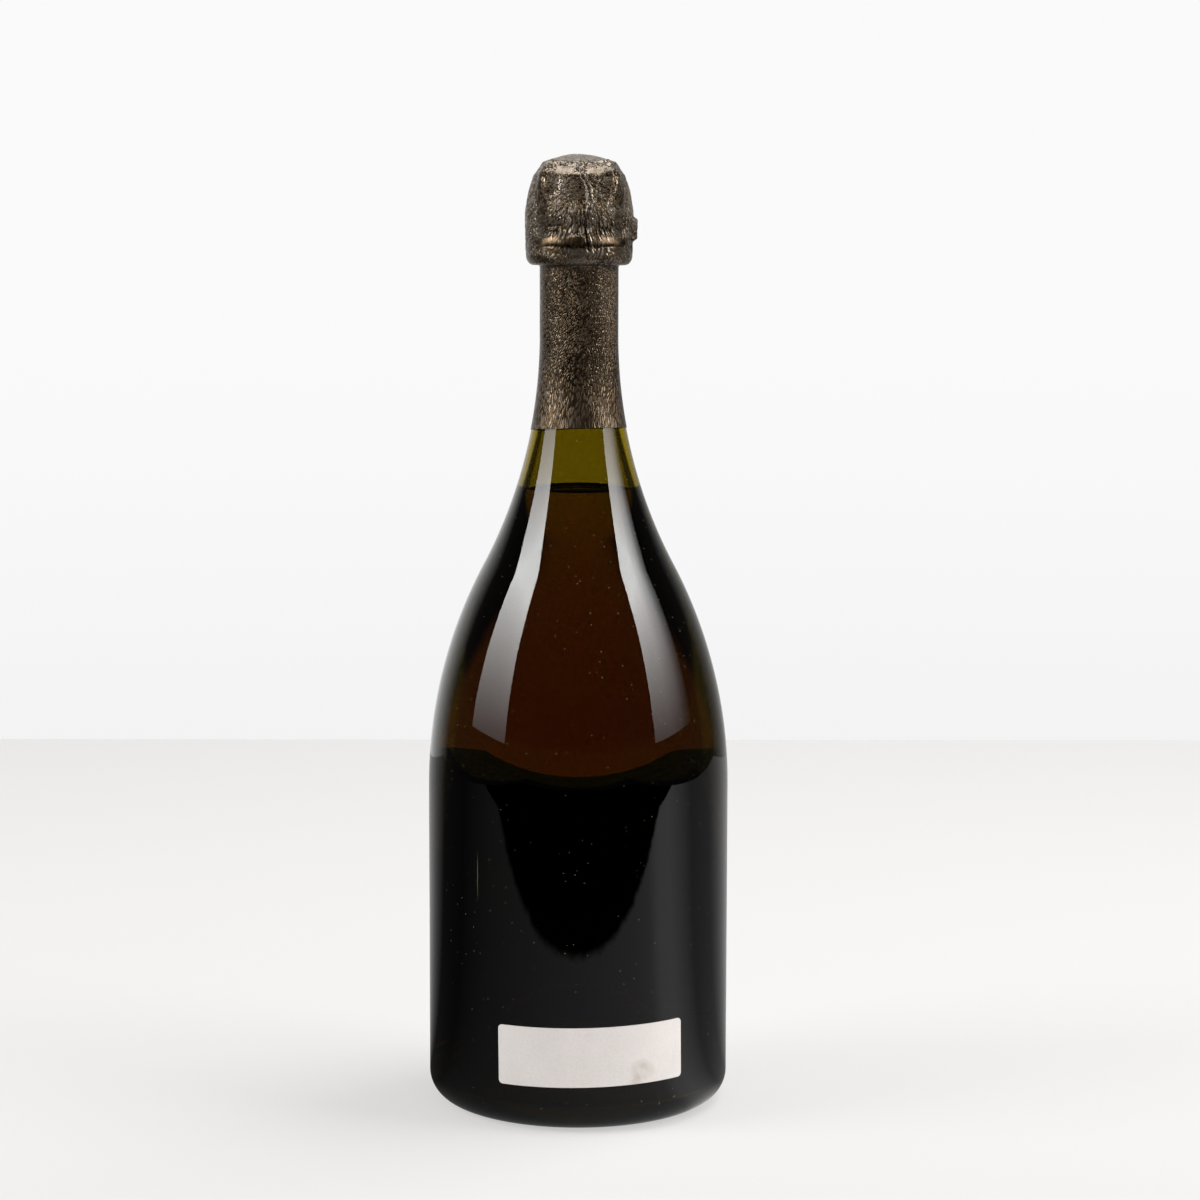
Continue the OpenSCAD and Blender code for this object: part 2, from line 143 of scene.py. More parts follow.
def surface(name, rings, ends="poles"):
    """Mesh through rings[row, column, xyz]. Columns close round. ends is "poles", where a fan closes each end
    about the middle of its ring, or "loop", where the last row joins the first. The UV map holds the share
    of the turn and the length along the rows, in metres."""
    rows, cols = rings.shape[:2]
    grid = np.arange(rows * cols).reshape(rows, cols)
    step = np.linalg.norm(np.diff(rings, axis=0, append=rings[:1]), axis=2).mean(1)
    along = np.concatenate([[0], np.cumsum(step)])
    low = grid if ends == "loop" else grid[:-1]
    high = np.roll(grid, -1, 0)[: len(low)]
    quads = np.stack([low, np.roll(low, -1, 1), np.roll(high, -1, 1), high], -1).reshape(-1, 4)
    row, col = np.divmod(np.arange(low.size), cols)
    u = np.stack([col, col + 1, col + 1, col], -1) / cols
    v = np.stack([along[row], along[row], along[row + 1], along[row + 1]], -1)
    points, faces, uv = rings.reshape(-1, 3), quads.tolist(), np.stack([u, v], -1).reshape(-1, 2)
    if ends == "poles":
        tip = len(points)
        points = np.vstack([points, rings[0].mean(0), rings[-1].mean(0)])
        first, last = grid[0], grid[-1]
        faces += np.stack([np.full(cols, tip), np.roll(first, -1), first], -1).tolist()
        faces += np.stack([last, np.roll(last, -1), np.full(cols, tip + 1)], -1).tolist()
        turn = np.arange(cols)
        u = np.stack([turn, turn + 1, turn], -1) / cols
        for at_end in (0, along[rows - 1]):
            uv = np.vstack([uv, np.stack([u, 0 * u + at_end], -1).reshape(-1, 2)])
    mesh = bpy.data.meshes.new(name)
    mesh.from_pydata(points.tolist(), [], faces)
    mesh.uv_layers.new(name="UVMap").data.foreach_set("uv", uv.astype(np.float32).ravel())
    mesh.polygons.foreach_set("use_smooth", np.ones(len(mesh.polygons), bool))
    mesh.update()
    return mesh


def linked(name, data):
    """A new object in the scene for a mesh, a lamp or a camera."""
    obj = bpy.data.objects.new(name, data)
    bpy.context.scene.collection.objects.link(obj)
    return obj


def piece(name, mesh, body, slot, material, *nodes, sharp=None):
    """An object for a mesh that stands for CAD nodes, rides on their body and has that finish."""
    obj = linked(name, mesh)
    mesh.materials.append(material)
    if sharp:
        mesh.set_sharp_from_angle(angle=np.radians(sharp))
    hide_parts(*nodes)
    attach(obj, body)
    return obj


def attribute(mesh, name, values):
    """Stores one number, or one (x, y) place, per vertex; the poles' own vertices take the last one."""
    wide = values.ndim == 3
    flat = values.reshape(-1, 2 if wide else 1)
    full = np.zeros((len(mesh.vertices), 3 if wide else 1), np.float32)
    full[:, : flat.shape[1]] = flat[-1]
    full[: len(flat), : flat.shape[1]] = flat
    kind, field = ("FLOAT_VECTOR", "vector") if wide else ("FLOAT", "value")
    mesh.attributes.new(name, kind, "POINT").data.foreach_set(field, full.ravel())


def smooth(low, high, x):
    """0 at low, 1 at high and 3t^2 - 2t^3 between them. It falls as x grows if low is the larger."""
    t = np.clip((x - low) / (high - low), 0, 1)
    return t * t * (3 - 2 * t)


def band(x, rise, top, edge, foot):
    """Rises smoothly from 0 at rise to 1 at top, and falls from 1 at edge to 0 at foot."""
    return smooth(rise, top, x) * smooth(foot, edge, x)


def bell(x, width):
    """1 where x is 0, and less on both sides: e to the power -(x / width)^2."""
    return np.exp(-((x / width) ** 2))


def unit(v):
    """The vectors v, made one long."""
    return v / np.linalg.norm(v, axis=-1)[..., None]


def outward(points):
    """The direction straight away from the axis at each point."""
    return unit(points * [1, 1, 0])


def flat_points(x, y):
    """The points (x, y, 0)."""
    return np.stack(np.broadcast_arrays(x, y, 0.0), -1)


def placed(r, z, degrees):
    """The points at radii r, heights z and angles turned from -Y towards +X."""
    a = np.radians(degrees)
    return np.stack(np.broadcast_arrays(r * np.sin(a), -r * np.cos(a), z), -1)


def arc(centre, radius, start, end, steps=16):
    """Points of an arc about centre, from one angle to the other, in degrees."""
    t = np.radians(np.linspace(start, end, steps + 1))
    return np.stack([centre[0] + radius * np.cos(t), centre[1] + radius * np.sin(t)], -1)


def resample(points, count):
    """count points at even steps along straight runs through points."""
    points = np.asarray(points, float)
    s = np.concatenate([[0], np.cumsum(np.linalg.norm(np.diff(points, axis=0), axis=1))])
    t = np.linspace(0, s[-1], count)
    return np.stack([np.interp(t, s, points[:, i]) for i in range(points.shape[1])], -1)


def turned(profile, cols):
    """Rings of a profile of (radius, height) turned round the axis."""
    a = np.arange(cols) * WHOLE_TURN / cols
    r, z = profile[:, :1], profile[:, 1:]
    return np.stack([r * np.sin(a), -r * np.cos(a), z + 0 * a], -1)


def shoulder(s, top_r, low_r, gap, share=0.494, steps=60):
    """The shoulder from the body up to the neck: an arc that bulges out, then one that curves in, with one
    slope where they meet. Both arcs' radii add up to (d^2 + h^2) / 2d for a drop d over a height h."""
    drop, rise = low_r - top_r, s.neck_z - s.shoulder_z
    both = (drop**2 + rise**2) / (2 * drop)
    angle = np.degrees(2 * np.arctan2(drop, rise))
    bulge, waist = both * share, both * (1 - share)
    return np.vstack([
        arc((low_r - bulge, s.shoulder_z), bulge + gap, 0, angle, steps),
        arc((top_r + waist, s.neck_z), waist - gap, 180 + angle, 180, steps)[1:],
    ])


def inside(s, gap, steps=40):
    """The inside from the middle of the floor to the neck: a cosine over the punt, a heel arc, a shoulder."""
    foot_r = s.body_r - s.heel_r
    share = np.linspace(0, 1, steps + 1)
    dome = np.stack([foot_r * share, s.floor_t + s.punt_h * np.cos(np.pi / 2 * share)], -1)
    heel = arc((foot_r, s.floor_t + s.heel_r - s.wall), s.heel_r - s.wall + gap, -90, 0, 10)
    dome[:, 1] -= gap
    return np.vstack([dome[:-1], heel, shoulder(s, s.bore_r, s.body_r - s.wall, gap)])


def outside_r(s, z):
    """Outside radius of the glass at heights on the shoulder and the neck."""
    line = shoulder(s, s.neck_r, s.body_r, 0)
    return np.interp(z, line[:, 1], line[:, 0], left=s.body_r, right=s.neck_r)


def noise(p, seed):
    """Smooth noise from about -1 to 1 at the points p. Each corner of the unit cell round a point has a
    random slope, and the corners' values blend by 6t^5 - 15t^4 + 10t^3."""
    rng = np.random.default_rng(seed)
    table = rng.permutation(256)
    slopes = rng.normal(size=(256, 3))
    slopes /= np.linalg.norm(slopes, axis=1)[:, None]
    cell = np.floor(p).astype(int)
    t = p - cell
    fade = t**3 * (t * (t * 6 - 15) + 10)
    total = np.zeros(p.shape[:-1])
    for corner in np.ndindex(2, 2, 2):
        at = cell + corner
        h = table[(table[(table[at[..., 0] & 255] + at[..., 1]) & 255] + at[..., 2]) & 255]
        weight = np.prod(np.where(corner, fade, 1 - fade), -1)
        total += weight * ((t - corner) * slopes[h]).sum(-1)
    return 1.6 * total


def creases(p, octaves, seed):
    """Noise folded into sharp ridges: the sum of 1 - 2|noise|, each octave half as wide and half as high."""
    return sum((1 - 2 * np.abs(noise(p * 2**k, seed + k))) / 2**k for k in range(octaves))


# Materials


def add(tree, kind, inputs=(), **settings):
    """A new node of that kind. settings are its own properties. inputs maps a socket's name or number to a
    value, or to an output that it is linked from."""
    new = tree.nodes.new("ShaderNode" + kind)
    for key, value in settings.items():
        setattr(new, key, value)
    for key, value in dict(inputs).items():
        if isinstance(value, bpy.types.NodeSocket):
            tree.links.new(value, new.inputs[key])
        else:
            new.inputs[key].default_value = value
    return new.outputs[0] if len(new.outputs) == 1 else new


def rgba(value):
    """The colour, opaque."""
    return (*value, 1)


def grey(value):
    """A grey of that level."""
    return (value, value, value, 1)


def dimmed(value, share):
    """The colour times a share."""
    return tuple(share * x for x in value)


def blank(name):
    """A material, its tree, and the object coordinates, which are its only node."""
    made = bpy.data.materials.new(name)
    made.use_nodes = True
    made.node_tree.nodes.clear()
    return made, made.node_tree, add(made.node_tree, "TexCoord").outputs["Object"]


def finished(made, tree, inputs, depth=None):
    """The material, ended with a principled shader and with what its depth absorbs."""
    ends = {"Surface": add(tree, "BsdfPrincipled", inputs)}
    if depth:
        ends["Volume"] = depth
    add(tree, "OutputMaterial", ends)
    return made


def maths(tree, operation, *values):
    """What one maths node makes of numbers or outputs."""
    return add(tree, "Math", dict(enumerate(values)), operation=operation)


def blend(tree, share, first, second):
    """Two colours mixed, with that share of the second."""
    return add(tree, "Mix", {0: share, 6: first, 7: second}, data_type="RGBA").outputs[2]


def speckle(tree, at, mm, detail, **inputs):
    """Smooth random values whose features are about that many mm wide."""
    inputs = {"Vector": at, "Scale": 1 / (mm * MM), "Detail": detail, **inputs}
    return add(tree, "TexNoise", inputs).outputs[0]


def cells(tree, at, mm, **settings):
    """A Voronoi node whose cells are about that many mm wide."""
    return add(tree, "TexVoronoi", {"Vector": at, "Scale": 1 / (mm * MM)}, **settings).outputs


def held(tree, name, output="Fac"):
    """What the mesh holds at each vertex under that name."""
    return add(tree, "Attribute", attribute_name=name).outputs[output]


def bumped(tree, height, mm, strength):
    """The normal over a relief that many mm high."""
    return add(tree, "Bump", {"Height": height, "Distance": mm * MM, "Strength": strength})


def ramp(tree, factor, stops):
    """A colour ramp with (position, colour) stops."""
    new = add(tree, "ValToRGB", {0: factor})
    elements = new.color_ramp.elements
    while len(elements) < len(stops):
        elements.new(0.5)
    for element, (position, value) in zip(elements, stops):
        element.position = position
        element.color = value if len(value) == 4 else rgba(value)
    return new.outputs[0]


def eased(tree, value, low, high, start=0, stop=1):
    """A level that goes smoothly from start at low to stop at high."""
    limits = {"Value": value, 1: low, 2: high, 3: start, 4: stop}
    return add(tree, "MapRange", limits, interpolation_type="SMOOTHSTEP").outputs[0]


def dark_glass(c):
    """Container glass, blown in a mould and left as it cooled: smooth, with specks of dust and a few long
    fine scratches. Its walls let the same light through at the neck and at the body, so most of the tint is
    at the faces and the rest builds up with depth, which darkens the edges. Real dust is finer; it is drawn
    0.3 mm wide so that it shows."""
    made, tree, at = blank("dark_olive_glass")
    drawn_out = add(tree, "Mapping", {"Vector": at, "Scale": (1, 1, 1 / 120)})
    dust = 0
    for place, mm, edge, left_out in ((at, 2.1, 0.075, 0.4), (drawn_out, 1.4, 0.05, 0.45)):
        spots = cells(tree, place, mm)
        spot = ramp(tree, spots["Distance"], [(edge / 2, grey(1)), (edge, grey(0))])
        chosen = ramp(tree, spots["Color"], [(left_out, grey(0)), (left_out + 0.05, grey(1))])
        dust = maths(tree, "MAXIMUM", maths(tree, "MULTIPLY", spot, chosen), dust)
    depth = add(tree, "VolumeAbsorption", {"Color": rgba((0.75, 0.65, 0)), "Density": 200})
    return finished(made, tree, {
        "Base Color": blend(tree, dust, rgba(c.glass), grey(0.17)),
        "Roughness": 0.012,
        "IOR": 1.52,
        "Transmission Weight": maths(tree, "SUBTRACT", 1, dust),
        "Normal": bumped(tree, speckle(tree, at, 14, 1), 0.05, 0.35),
    }, depth)


def amber_wine(c):
    """Sparkling wine gone amber with age: a clear liquid that darkens and warms with depth."""
    made, tree, _ = blank("amber_wine")
    depth = add(tree, "VolumeAbsorption", {"Color": rgba((0.85, 0.44, 0)), "Density": 40})
    inputs = {"Base Color": rgba(c.wine), "Roughness": 0, "IOR": 1.34, "Transmission Weight": 1}
    return finished(made, tree, inputs, depth)


def lacquered_foil(c):
    """Tin-alloy capsule foil with bronze lacquer, embossed with a fine grain and crimped on by hand: a soft
    metal. Its colour is paler on the creases and the grain's beads, partly wear of the thin lacquer and
    partly painted highlight, and darker in the folds and the grain's gaps as painted shade. The creases
    follow the flow that the crimping rollers left. The real grain is about 0.3 mm; it is drawn twice as
    coarse so that it shows."""
    made, tree, at = blank("lacquered_foil")
    relief, smoothness, flow_share = (held(tree, name) for name in ("relief", "smoothness", "flow_share"))
    drawn = add(tree, "Mapping", {"Vector": held(tree, "flow", "Vector"), "Scale": (1, 0.48, 1)})
    bead = eased(tree, cells(tree, drawn, 0.58, feature="DISTANCE_TO_EDGE")["Distance"], 0.02, 0.26)
    worm = maths(tree, "SUBTRACT", speckle(tree, at, 1.2, 1.5, Distortion=0.8), 0.5)
    worm = eased(tree, maths(tree, "ABSOLUTE", worm), 0, 0.08)
    grain = add(tree, "Mix", {0: flow_share, 2: worm, 3: bead}).outputs[0]
    height = maths(tree, "MULTIPLY_ADD", speckle(tree, at, 0.7, 2), 0.6, grain)
    blotch = speckle(tree, at, 6, 2)
    # The grain paints shade into its gaps and highlights onto its beads, less where the foil is smooth
    tinted_part = maths(tree, "MULTIPLY_ADD", smoothness, -0.65, 1)
    shade = add(tree, "Mix", {0: tinted_part, 2: 0.85, 3: grain}).outputs[0]
    # The relief attribute adds the painted light and shade worked out on the mesh
    shade = maths(tree, "MULTIPLY_ADD", shade, 0.95, relief)
    level = add(tree, "MixRGB", {0: 0.2, 1: shade, 2: blotch})
    return finished(made, tree, {
        "Base Color": ramp(tree, level, [(0.1, c.foil_painted_shade), (0.58, c.foil), (0.95, c.foil_worn_and_lit)]),
        "Metallic": 0.9,
        "Roughness": ramp(tree, blotch, [(0.3, grey(0.22)), (0.7, grey(0.36))]),
        "Normal": bumped(tree, height, 0.25, maths(tree, "SUBTRACT", 1, smoothness)),
    })


def label_paper(c, name, base_colour, ink_lines=None):
    """Uncoated label paper: matt, with a faint fibre and a little yellowing. It has a stain, or else ink
    lines, each given by its distance from the edge and half its width, in mm."""
    made, tree, at = blank(name)
    fibre = speckle(tree, at, 0.5, 4, Roughness=0.7)
    cloud = speckle(tree, at, 12, 3)
    tone = blend(tree, 0.35, fibre, cloud)
    paper = ramp(tree, tone, [(0.3, dimmed(base_colour, 0.86)), (0.6, tuple(base_colour))])
    if ink_lines is None:
        places = {0: held(tree, "flat_place", "Vector"), 1: (15 * MM, -6.6 * MM, 0)}
        far = add(tree, "VectorMath", places, operation="DISTANCE")
        near = add(tree, "MapRange", {"Value": far.outputs["Value"], 1: 0.6 * MM, 2: 5.5 * MM, 3: 1, 4: 0})
        blots = ramp(tree, cloud, [(0.42, grey(0)), (0.62, grey(1))])
        amount = maths(tree, "MULTIPLY", maths(tree, "MULTIPLY", near.outputs[0], blots), 0.8)
        paper = blend(tree, amount, paper, rgba(c.stain))
    else:
        edge = held(tree, "edge")
        lines = 0
        for middle, half in ink_lines:
            off = maths(tree, "ABSOLUTE", maths(tree, "SUBTRACT", edge, middle * MM))
            lines = maths(tree, "MAXIMUM", maths(tree, "LESS_THAN", off, half * MM), lines)
        paper = blend(tree, lines, paper, rgba(c.ink))
    return finished(made, tree, {
        "Base Color": paper,
        "Roughness": 0.78,
        "Specular IOR Level": 0.3,
        "Normal": bumped(tree, fibre, 0.02, 0.5),
    })


def cork_grain(c, name, grain_mm, dark_share):
    """Cork: pale grains or rings with dark pores, dry and matt."""
    made, tree, at = blank(name)
    pores = speckle(tree, at, 0.8, 4, Roughness=0.65)
    mixed = blend(tree, 0.5, cells(tree, at, grain_mm)["Color"], pores)
    middle = tuple(0.4 * dark + 0.6 * pale for dark, pale in zip(c.cork_dark, c.cork))
    stops = [(dark_share, c.cork_dark), (dark_share + 0.08, middle), (dark_share + 0.36, c.cork)]
    return finished(made, tree, {
        "Base Color": ramp(tree, mixed, stops), "Roughness": 0.85, "Normal": bumped(tree, pores, 0.25, 0.6),
    })


def lacquered_tinplate(c):
    """Stamped tinplate under a dark satin lacquer, with a few rubbed marks."""
    made, tree, at = blank("lacquered_tinplate")
    rub = speckle(tree, at, 2.5, 5, Roughness=0.7)
    return finished(made, tree, {
        "Base Color": ramp(tree, rub, [(0.62, c.plate), (0.78, c.steel)]),
        "Metallic": 0.6,
        "Roughness": ramp(tree, rub, [(0.3, grey(0.28)), (0.8, grey(0.5))]),
    })


def galvanised_wire(c):
    """Zinc-coated steel wire, drawn through a die: grey, and uneven where the zinc has gone dull."""
    made, tree, at = blank("galvanised_wire")
    spangle = speckle(tree, at, 1.2, 3)
    return finished(made, tree, {
        "Base Color": ramp(tree, spangle, [(0.35, dimmed(c.steel, 0.6)), (0.6, tuple(c.steel))]),
        "Metallic": 1,
        "Roughness": ramp(tree, spangle, [(0.3, grey(0.25)), (0.7, grey(0.48))]),
    })


# Stage


# The camera, fitted to the bottle's outline: metres back and up, degrees down, radians of roll, mm of lens
# and sensor. AXIS_X is where the bottle's axis lies in a picture that is FRAME_W wide.
CAMERA_BACK = 0.9418
CAMERA_UP = 0.2682
CAMERA_DOWN = 6.78
CAMERA_ROLL = 0.0023
LENS = 91.98
AXIS_X = 578.5
FRAME_W = 1200
SENSOR = 36
# The soft boxes: their first and last angle from -Y, and the angle past which they fade
LEFT_BOX = (-91, -58, None)
RIGHT_BOX = (61, 99, 76)
# Where the overhead lamp hangs, in metres, and its power in watts
LAMP_AT = (0.55, 0.25, 1.25)
LAMP_POWER = 11.5
# Levels that the bottle mirrors, as (degrees from -Y towards +X, level)
MIRRORED_TABLE = (
    (-180, 0.55), (-145, 0.38), (-120, 0.03), (-94, 0.03), (-64, 0.12), (0, 0.26), (40, 0.37), (52, 0.45),
    (60, 0.72), (70, 0.72), (92, 0.2), (115, 0.17), (145, 0.45), (180, 0.55),
)
MIRRORED_WALL = (
    (-180, 0.75), (-165, 0.9), (-150, 0.8), (-138, 0.55), (-122, 0.03), (0, 0.01), (128, 0.03), (148, 0.28),
    (165, 0.5), (180, 0.75),
)
# Levels that light matt surfaces from low down on each side
LIT_SIDE = ((-180, 0.34), (0, 0.34), (25, 1.6), (45, 2.7), (75, 2.7), (105, 0.34), (180, 0.34))


def by_azimuth(tree, at, stops):
    """A level that follows the azimuth of at, evenly between stops of (degrees from -Y, level)."""
    way = add(tree, "SeparateXYZ", {0: at})
    ahead = maths(tree, "MULTIPLY", way.outputs[1], -1)
    turn = maths(tree, "ARCTAN2", way.outputs[0], ahead)
    share = add(tree, "MapRange", {"Value": turn, 1: -np.pi, 2: np.pi, 3: 0, 4: 1}).outputs[0]
    return ramp(tree, share, [((degrees + 180) / 360, grey(level)) for degrees, level in stops])


class BOTTLE_OT_stage(bpy.types.Operator):
    """Makes the table, the pale surroundings, two tall soft boxes, the overhead lamp and the camera"""

    bl_idname = "bottle.stage"
    bl_label = "Stage"

    def execute(self, context):
        self.table()
        context.scene.world = bpy.data.worlds.new("surroundings")
        self.surroundings(context.scene.world)
        self.soft_box(*LEFT_BOX)
        self.soft_box(*RIGHT_BOX)
        self.overhead()
        self.camera(context)
        context.scene.view_settings.view_transform = "Standard"
        return {"FINISHED"}

    def sheet(self, name, material, corners):
        """A flat sheet of the stage through four corners, and the tree and coordinates of its material."""
        mesh = bpy.data.meshes.new(name)
        mesh.from_pydata(corners, [], [(0, 1, 2, 3)])
        made, tree, at = blank(material)
        mesh.materials.append(made)
        return linked(name, mesh), tree, at

    def table(self):
        """A pale table top, whose glow dims towards the front as painted shade. Reflections see it by the
        light on each side, up to a dark front edge. Through the glass it looks the same, but with painted
        shade close to the bottle."""
        x, front, back = 0.95, -1.1, 0.68
        corners = [(-x, front, 0), (x, front, 0), (x, back, 0), (-x, back, 0)]
        table, tree, at = self.sheet("table", "pale_table", corners)
        depth = add(tree, "SeparateXYZ", {0: at}).outputs[1]
        ragged = maths(tree, "MULTIPLY_ADD", speckle(tree, at, 30, 2), 0.02, depth)
        near = eased(tree, ragged, -0.278, -0.254)
        level = maths(tree, "MULTIPLY", near, by_azimuth(tree, at, MIRRORED_TABLE))
        # Painted shade: through the glass, the table up to 0.28 m behind the bottle's axis is dark
        beyond = maths(tree, "MULTIPLY", level, eased(tree, depth, 0.28, 0.33, 0.02, 1))
        # Painted shade: the table's glow dims towards the front
        painted_front_falloff = eased(tree, depth, -0.17, 0.05, 0.86, 0.935)
        pale = add(tree, "Emission", {"Color": (0.56, 0.548, 0.544, 1), "Strength": painted_front_falloff})
        lit = add(tree, "BsdfDiffuse", {"Color": (0.275, 0.27, 0.268, 1)})
        seen = add(tree, "AddShader", {0: lit, 1: pale})
        path = add(tree, "LightPath")
        for ray, strength in (("Glossy", level), ("Transmission", beyond)):
            glow = add(tree, "Emission", {"Color": grey(1), "Strength": strength})
            seen = add(tree, "MixShader", {0: path.outputs["Is " + ray + " Ray"], 1: seen, 2: glow})
        add(tree, "OutputMaterial", {"Surface": seen})

    def surroundings(self, world):
        """A white wall for the camera. Through the glass the wall behind is white up to the horizon and dark
        above it. Reflections see a wall by azimuth and a bright ceiling, and matt surfaces a lit side."""
        world.use_nodes = True
        tree = world.node_tree
        tree.nodes.clear()
        at = add(tree, "TexCoord").outputs["Generated"]
        _, back, up = add(tree, "SeparateXYZ", {0: at}).outputs
        behind = eased(tree, back, 0.48, 0.6, 0.2, 0.94)
        behind = maths(tree, "MULTIPLY", behind, eased(tree, up, 0.02, 0.07, 1, 0.04))
        wall = eased(tree, up, -0.19, -0.03, 0.893, 0.954)
        mirrored = blend(tree, eased(tree, up, 0.8, 0.9), by_azimuth(tree, at, MIRRORED_WALL), grey(3.2))
        seen = blend(tree, eased(tree, up, 0.4, 0.55), by_azimuth(tree, at, LIT_SIDE), grey(0.38))
        path = add(tree, "LightPath")
        for ray, level in (("Glossy", mirrored), ("Transmission", behind), ("Camera", wall)):
            seen = blend(tree, path.outputs["Is " + ray + " Ray"], seen, level)
        sky = add(tree, "Background", {"Color": seen, "Strength": 1})
        add(tree, "OutputWorld", {"Surface": sky})

    def soft_box(self, first, last, dim_from):
        """A tall soft box between two angles from -Y, brighter towards its top: its level is 15.6 times its
        height to the power 1.76. Past the angle dim_from, if there is one, it fades out to its last edge."""
        reach, low, high, brightest = 1.0, 0.18, 1.1, 12.5
        middle = (first + last) / 2
        foot = placed(reach, low, middle)
        along = placed(reach * np.tan(np.radians(last - first) / 2), 0, middle + 90)
        rise = np.array([0, 0, high - low])
        corners = [foot + along, foot - along, foot - along + rise, foot + along + rise]
        box, tree, at = self.sheet("soft_box", "soft_box", [tuple(p) for p in corners])
        box.visible_camera = box.visible_transmission = box.visible_shadow = False
        glow = maths(tree, "POWER", add(tree, "SeparateXYZ", {0: at}).outputs[2], 1.76)
        glow = maths(tree, "MINIMUM", maths(tree, "MULTIPLY", glow, 15.6), brightest)
        if dim_from:
            stops = [(dim_from, 1), (dim_from + 11, 0.62), (dim_from + 17, 0.28), (last, 0.05)]
            glow = maths(tree, "MULTIPLY", glow, by_azimuth(tree, at, stops))
        lamp = add(tree, "Emission", {"Strength": glow})
        add(tree, "OutputMaterial", {"Surface": lamp})

    def overhead(self):
        """A broad lamp above and behind to the right, which throws the soft shadow to the left."""
        lamp = bpy.data.lights.new("overhead", "AREA")
        lamp.shape, lamp.size, lamp.size_y, lamp.energy = "RECTANGLE", 0.7, 0.7, LAMP_POWER
        obj = linked("overhead", lamp)
        obj.location = LAMP_AT
        obj.rotation_mode = "QUATERNION"
        obj.rotation_quaternion = (-Vector(obj.location)).to_track_quat("-Z", "Y")
        obj.visible_glossy = obj.visible_transmission = obj.visible_camera = False

    def camera(self, context):
        """The picture's camera: level with the mouth, looking down a little, with no lens shift."""
        lens = bpy.data.cameras.new("camera")
        lens.lens, lens.sensor_width = LENS, SENSOR
        lens.clip_start, lens.clip_end = 0.01, 50
        camera = linked("camera", lens)
        focal = LENS / SENSOR * FRAME_W
        turn = Matrix.Rotation(-np.arctan2(FRAME_W / 2 - AXIS_X, focal), 4, "Z")
        tip = Matrix.Rotation(np.radians(90 - CAMERA_DOWN), 4, "X")
        roll = Matrix.Rotation(CAMERA_ROLL, 4, "Z")
        camera.matrix_world = Matrix.Translation((0, -CAMERA_BACK, CAMERA_UP)) @ turn @ tip @ roll
        context.scene.camera = camera


# Pieces


# Radii of the curve from the neck to the ring and of the ring's lower edge
NECK_FILLET = 0.8 * MM
RING_ROUND = 2 * MM
# Thickness of the glue under the foil and the labels
GLUE = 0.05 * MM
# How far the wine is drawn into the glass, so that no gap shows between them
WETTING = 0.1 * MM
# Radius left open at the axis, where a fan closes a turned piece
CORE = 0.05 * MM
# The cap plate: its gap over the cork, its rim's drop, its rim's height and half the width of its seat
PLATE_GAP = 0.05 * MM
PLATE_DROP = 2.5 * MM
PLATE_RIM = 1.2 * MM
SEAT_HALF = 0.85 * MM
# The legs: their angles from -Y, and the radii of a twisted pair and of the circle of their middles
LEG_ANGLES = (45, 135, 225, 315)
PAIR_R = 0.855 * MM
LEG_R = 15.155 * MM
# The radius by which an angle on the hood becomes a distance across it, in mm
HOOD_R = 16.4


def seat_z(s):
    """Height of the cap plate's seat, which the cage's top ring lies on."""
    return s.mouth_z + s.head_h + PLATE_GAP + s.plate_t


def button_r(s):
    """Radius of the cap plate's domed middle."""
    return s.top_ring_r - SEAT_HALF - s.plate_t


def plate_top(s, share):
    """Height of the plate's domed middle at a share of its radius: the seat, plus a step and a cosine."""
    return seat_z(s) + 3.7 * MM * (0.47 + 0.53 * np.cos(np.pi / 2 * share))


def straight_z(s):
    """Height up to which the cage's legs stand straight."""
    return s.mouth_z + 0.25 * s.head_h


def key_z(s):
    """Height of the middle of the belt wire's key."""
    return s.lip_z + 0.6 * (s.mouth_z - s.lip_z)


class BOTTLE_OT_glass(bpy.types.Operator):
    """Makes the glass as one turned wall: punt, foot, heel, body, shoulder, neck, ring, lip and bore"""

    bl_idname = "bottle.glass"
    bl_label = "Glass"

    def execute(self, context):
        """The punt is a cosine and the rest arcs and straight runs, turned round the axis. A slow noise sways
        the walls by 0.05 mm."""
        s, c = context.scene.bottle_sizes, context.scene.bottle_colours
        foot_out = s.body_r - s.heel_r
        foot_in = foot_out - s.foot_w
        share = np.linspace(0.004, 1, 40)
        punt = np.stack([foot_in * share, s.punt_h * np.cos(np.pi / 2 * share)], -1)
        ring_top, lip, mouth = 0.9 * MM, 1.5 * MM, 1 * MM
        outline = np.vstack([
            punt,
            arc((foot_out, s.heel_r), s.heel_r, -90, 0, 28),
            resample([(s.body_r, s.heel_r), (s.body_r, s.shoulder_z)], 24)[1:-1],
            shoulder(s, s.neck_r, s.body_r, 0),
            arc((s.neck_r + NECK_FILLET, s.ring_z - NECK_FILLET), NECK_FILLET, 180, 90, 6),
            arc((s.ring_r - RING_ROUND, s.ring_z + RING_ROUND), RING_ROUND, -90, 0, 10),
            arc((s.ring_r - ring_top, s.groove_z - ring_top), ring_top, 0, 90, 8),
            [(s.groove_r, s.groove_z), (s.groove_r, s.lip_z)],
            arc((s.lip_r - lip, s.lip_z + lip), lip, -90, 0, 8),
            arc((s.lip_r - lip, s.mouth_z - lip), lip, 0, 90, 8),
            arc((s.bore_r + mouth, s.mouth_z - mouth), mouth, 90, 180, 8),
            inside(s, 0)[:0:-1],
        ])
        rings = turned(outline, 224)
        sway = 0.05 * MM * noise(rings / (38 * MM), 3) * band(rings[..., 2] / MM, 12, 30, 200, 215)
        mesh = surface("glass", rings + outward(rings) * sway[..., None])
        piece("glass", mesh, "bottle", "dark_glass", dark_glass(c), "bottle_glass", sharp=35)
        return {"FINISHED"}


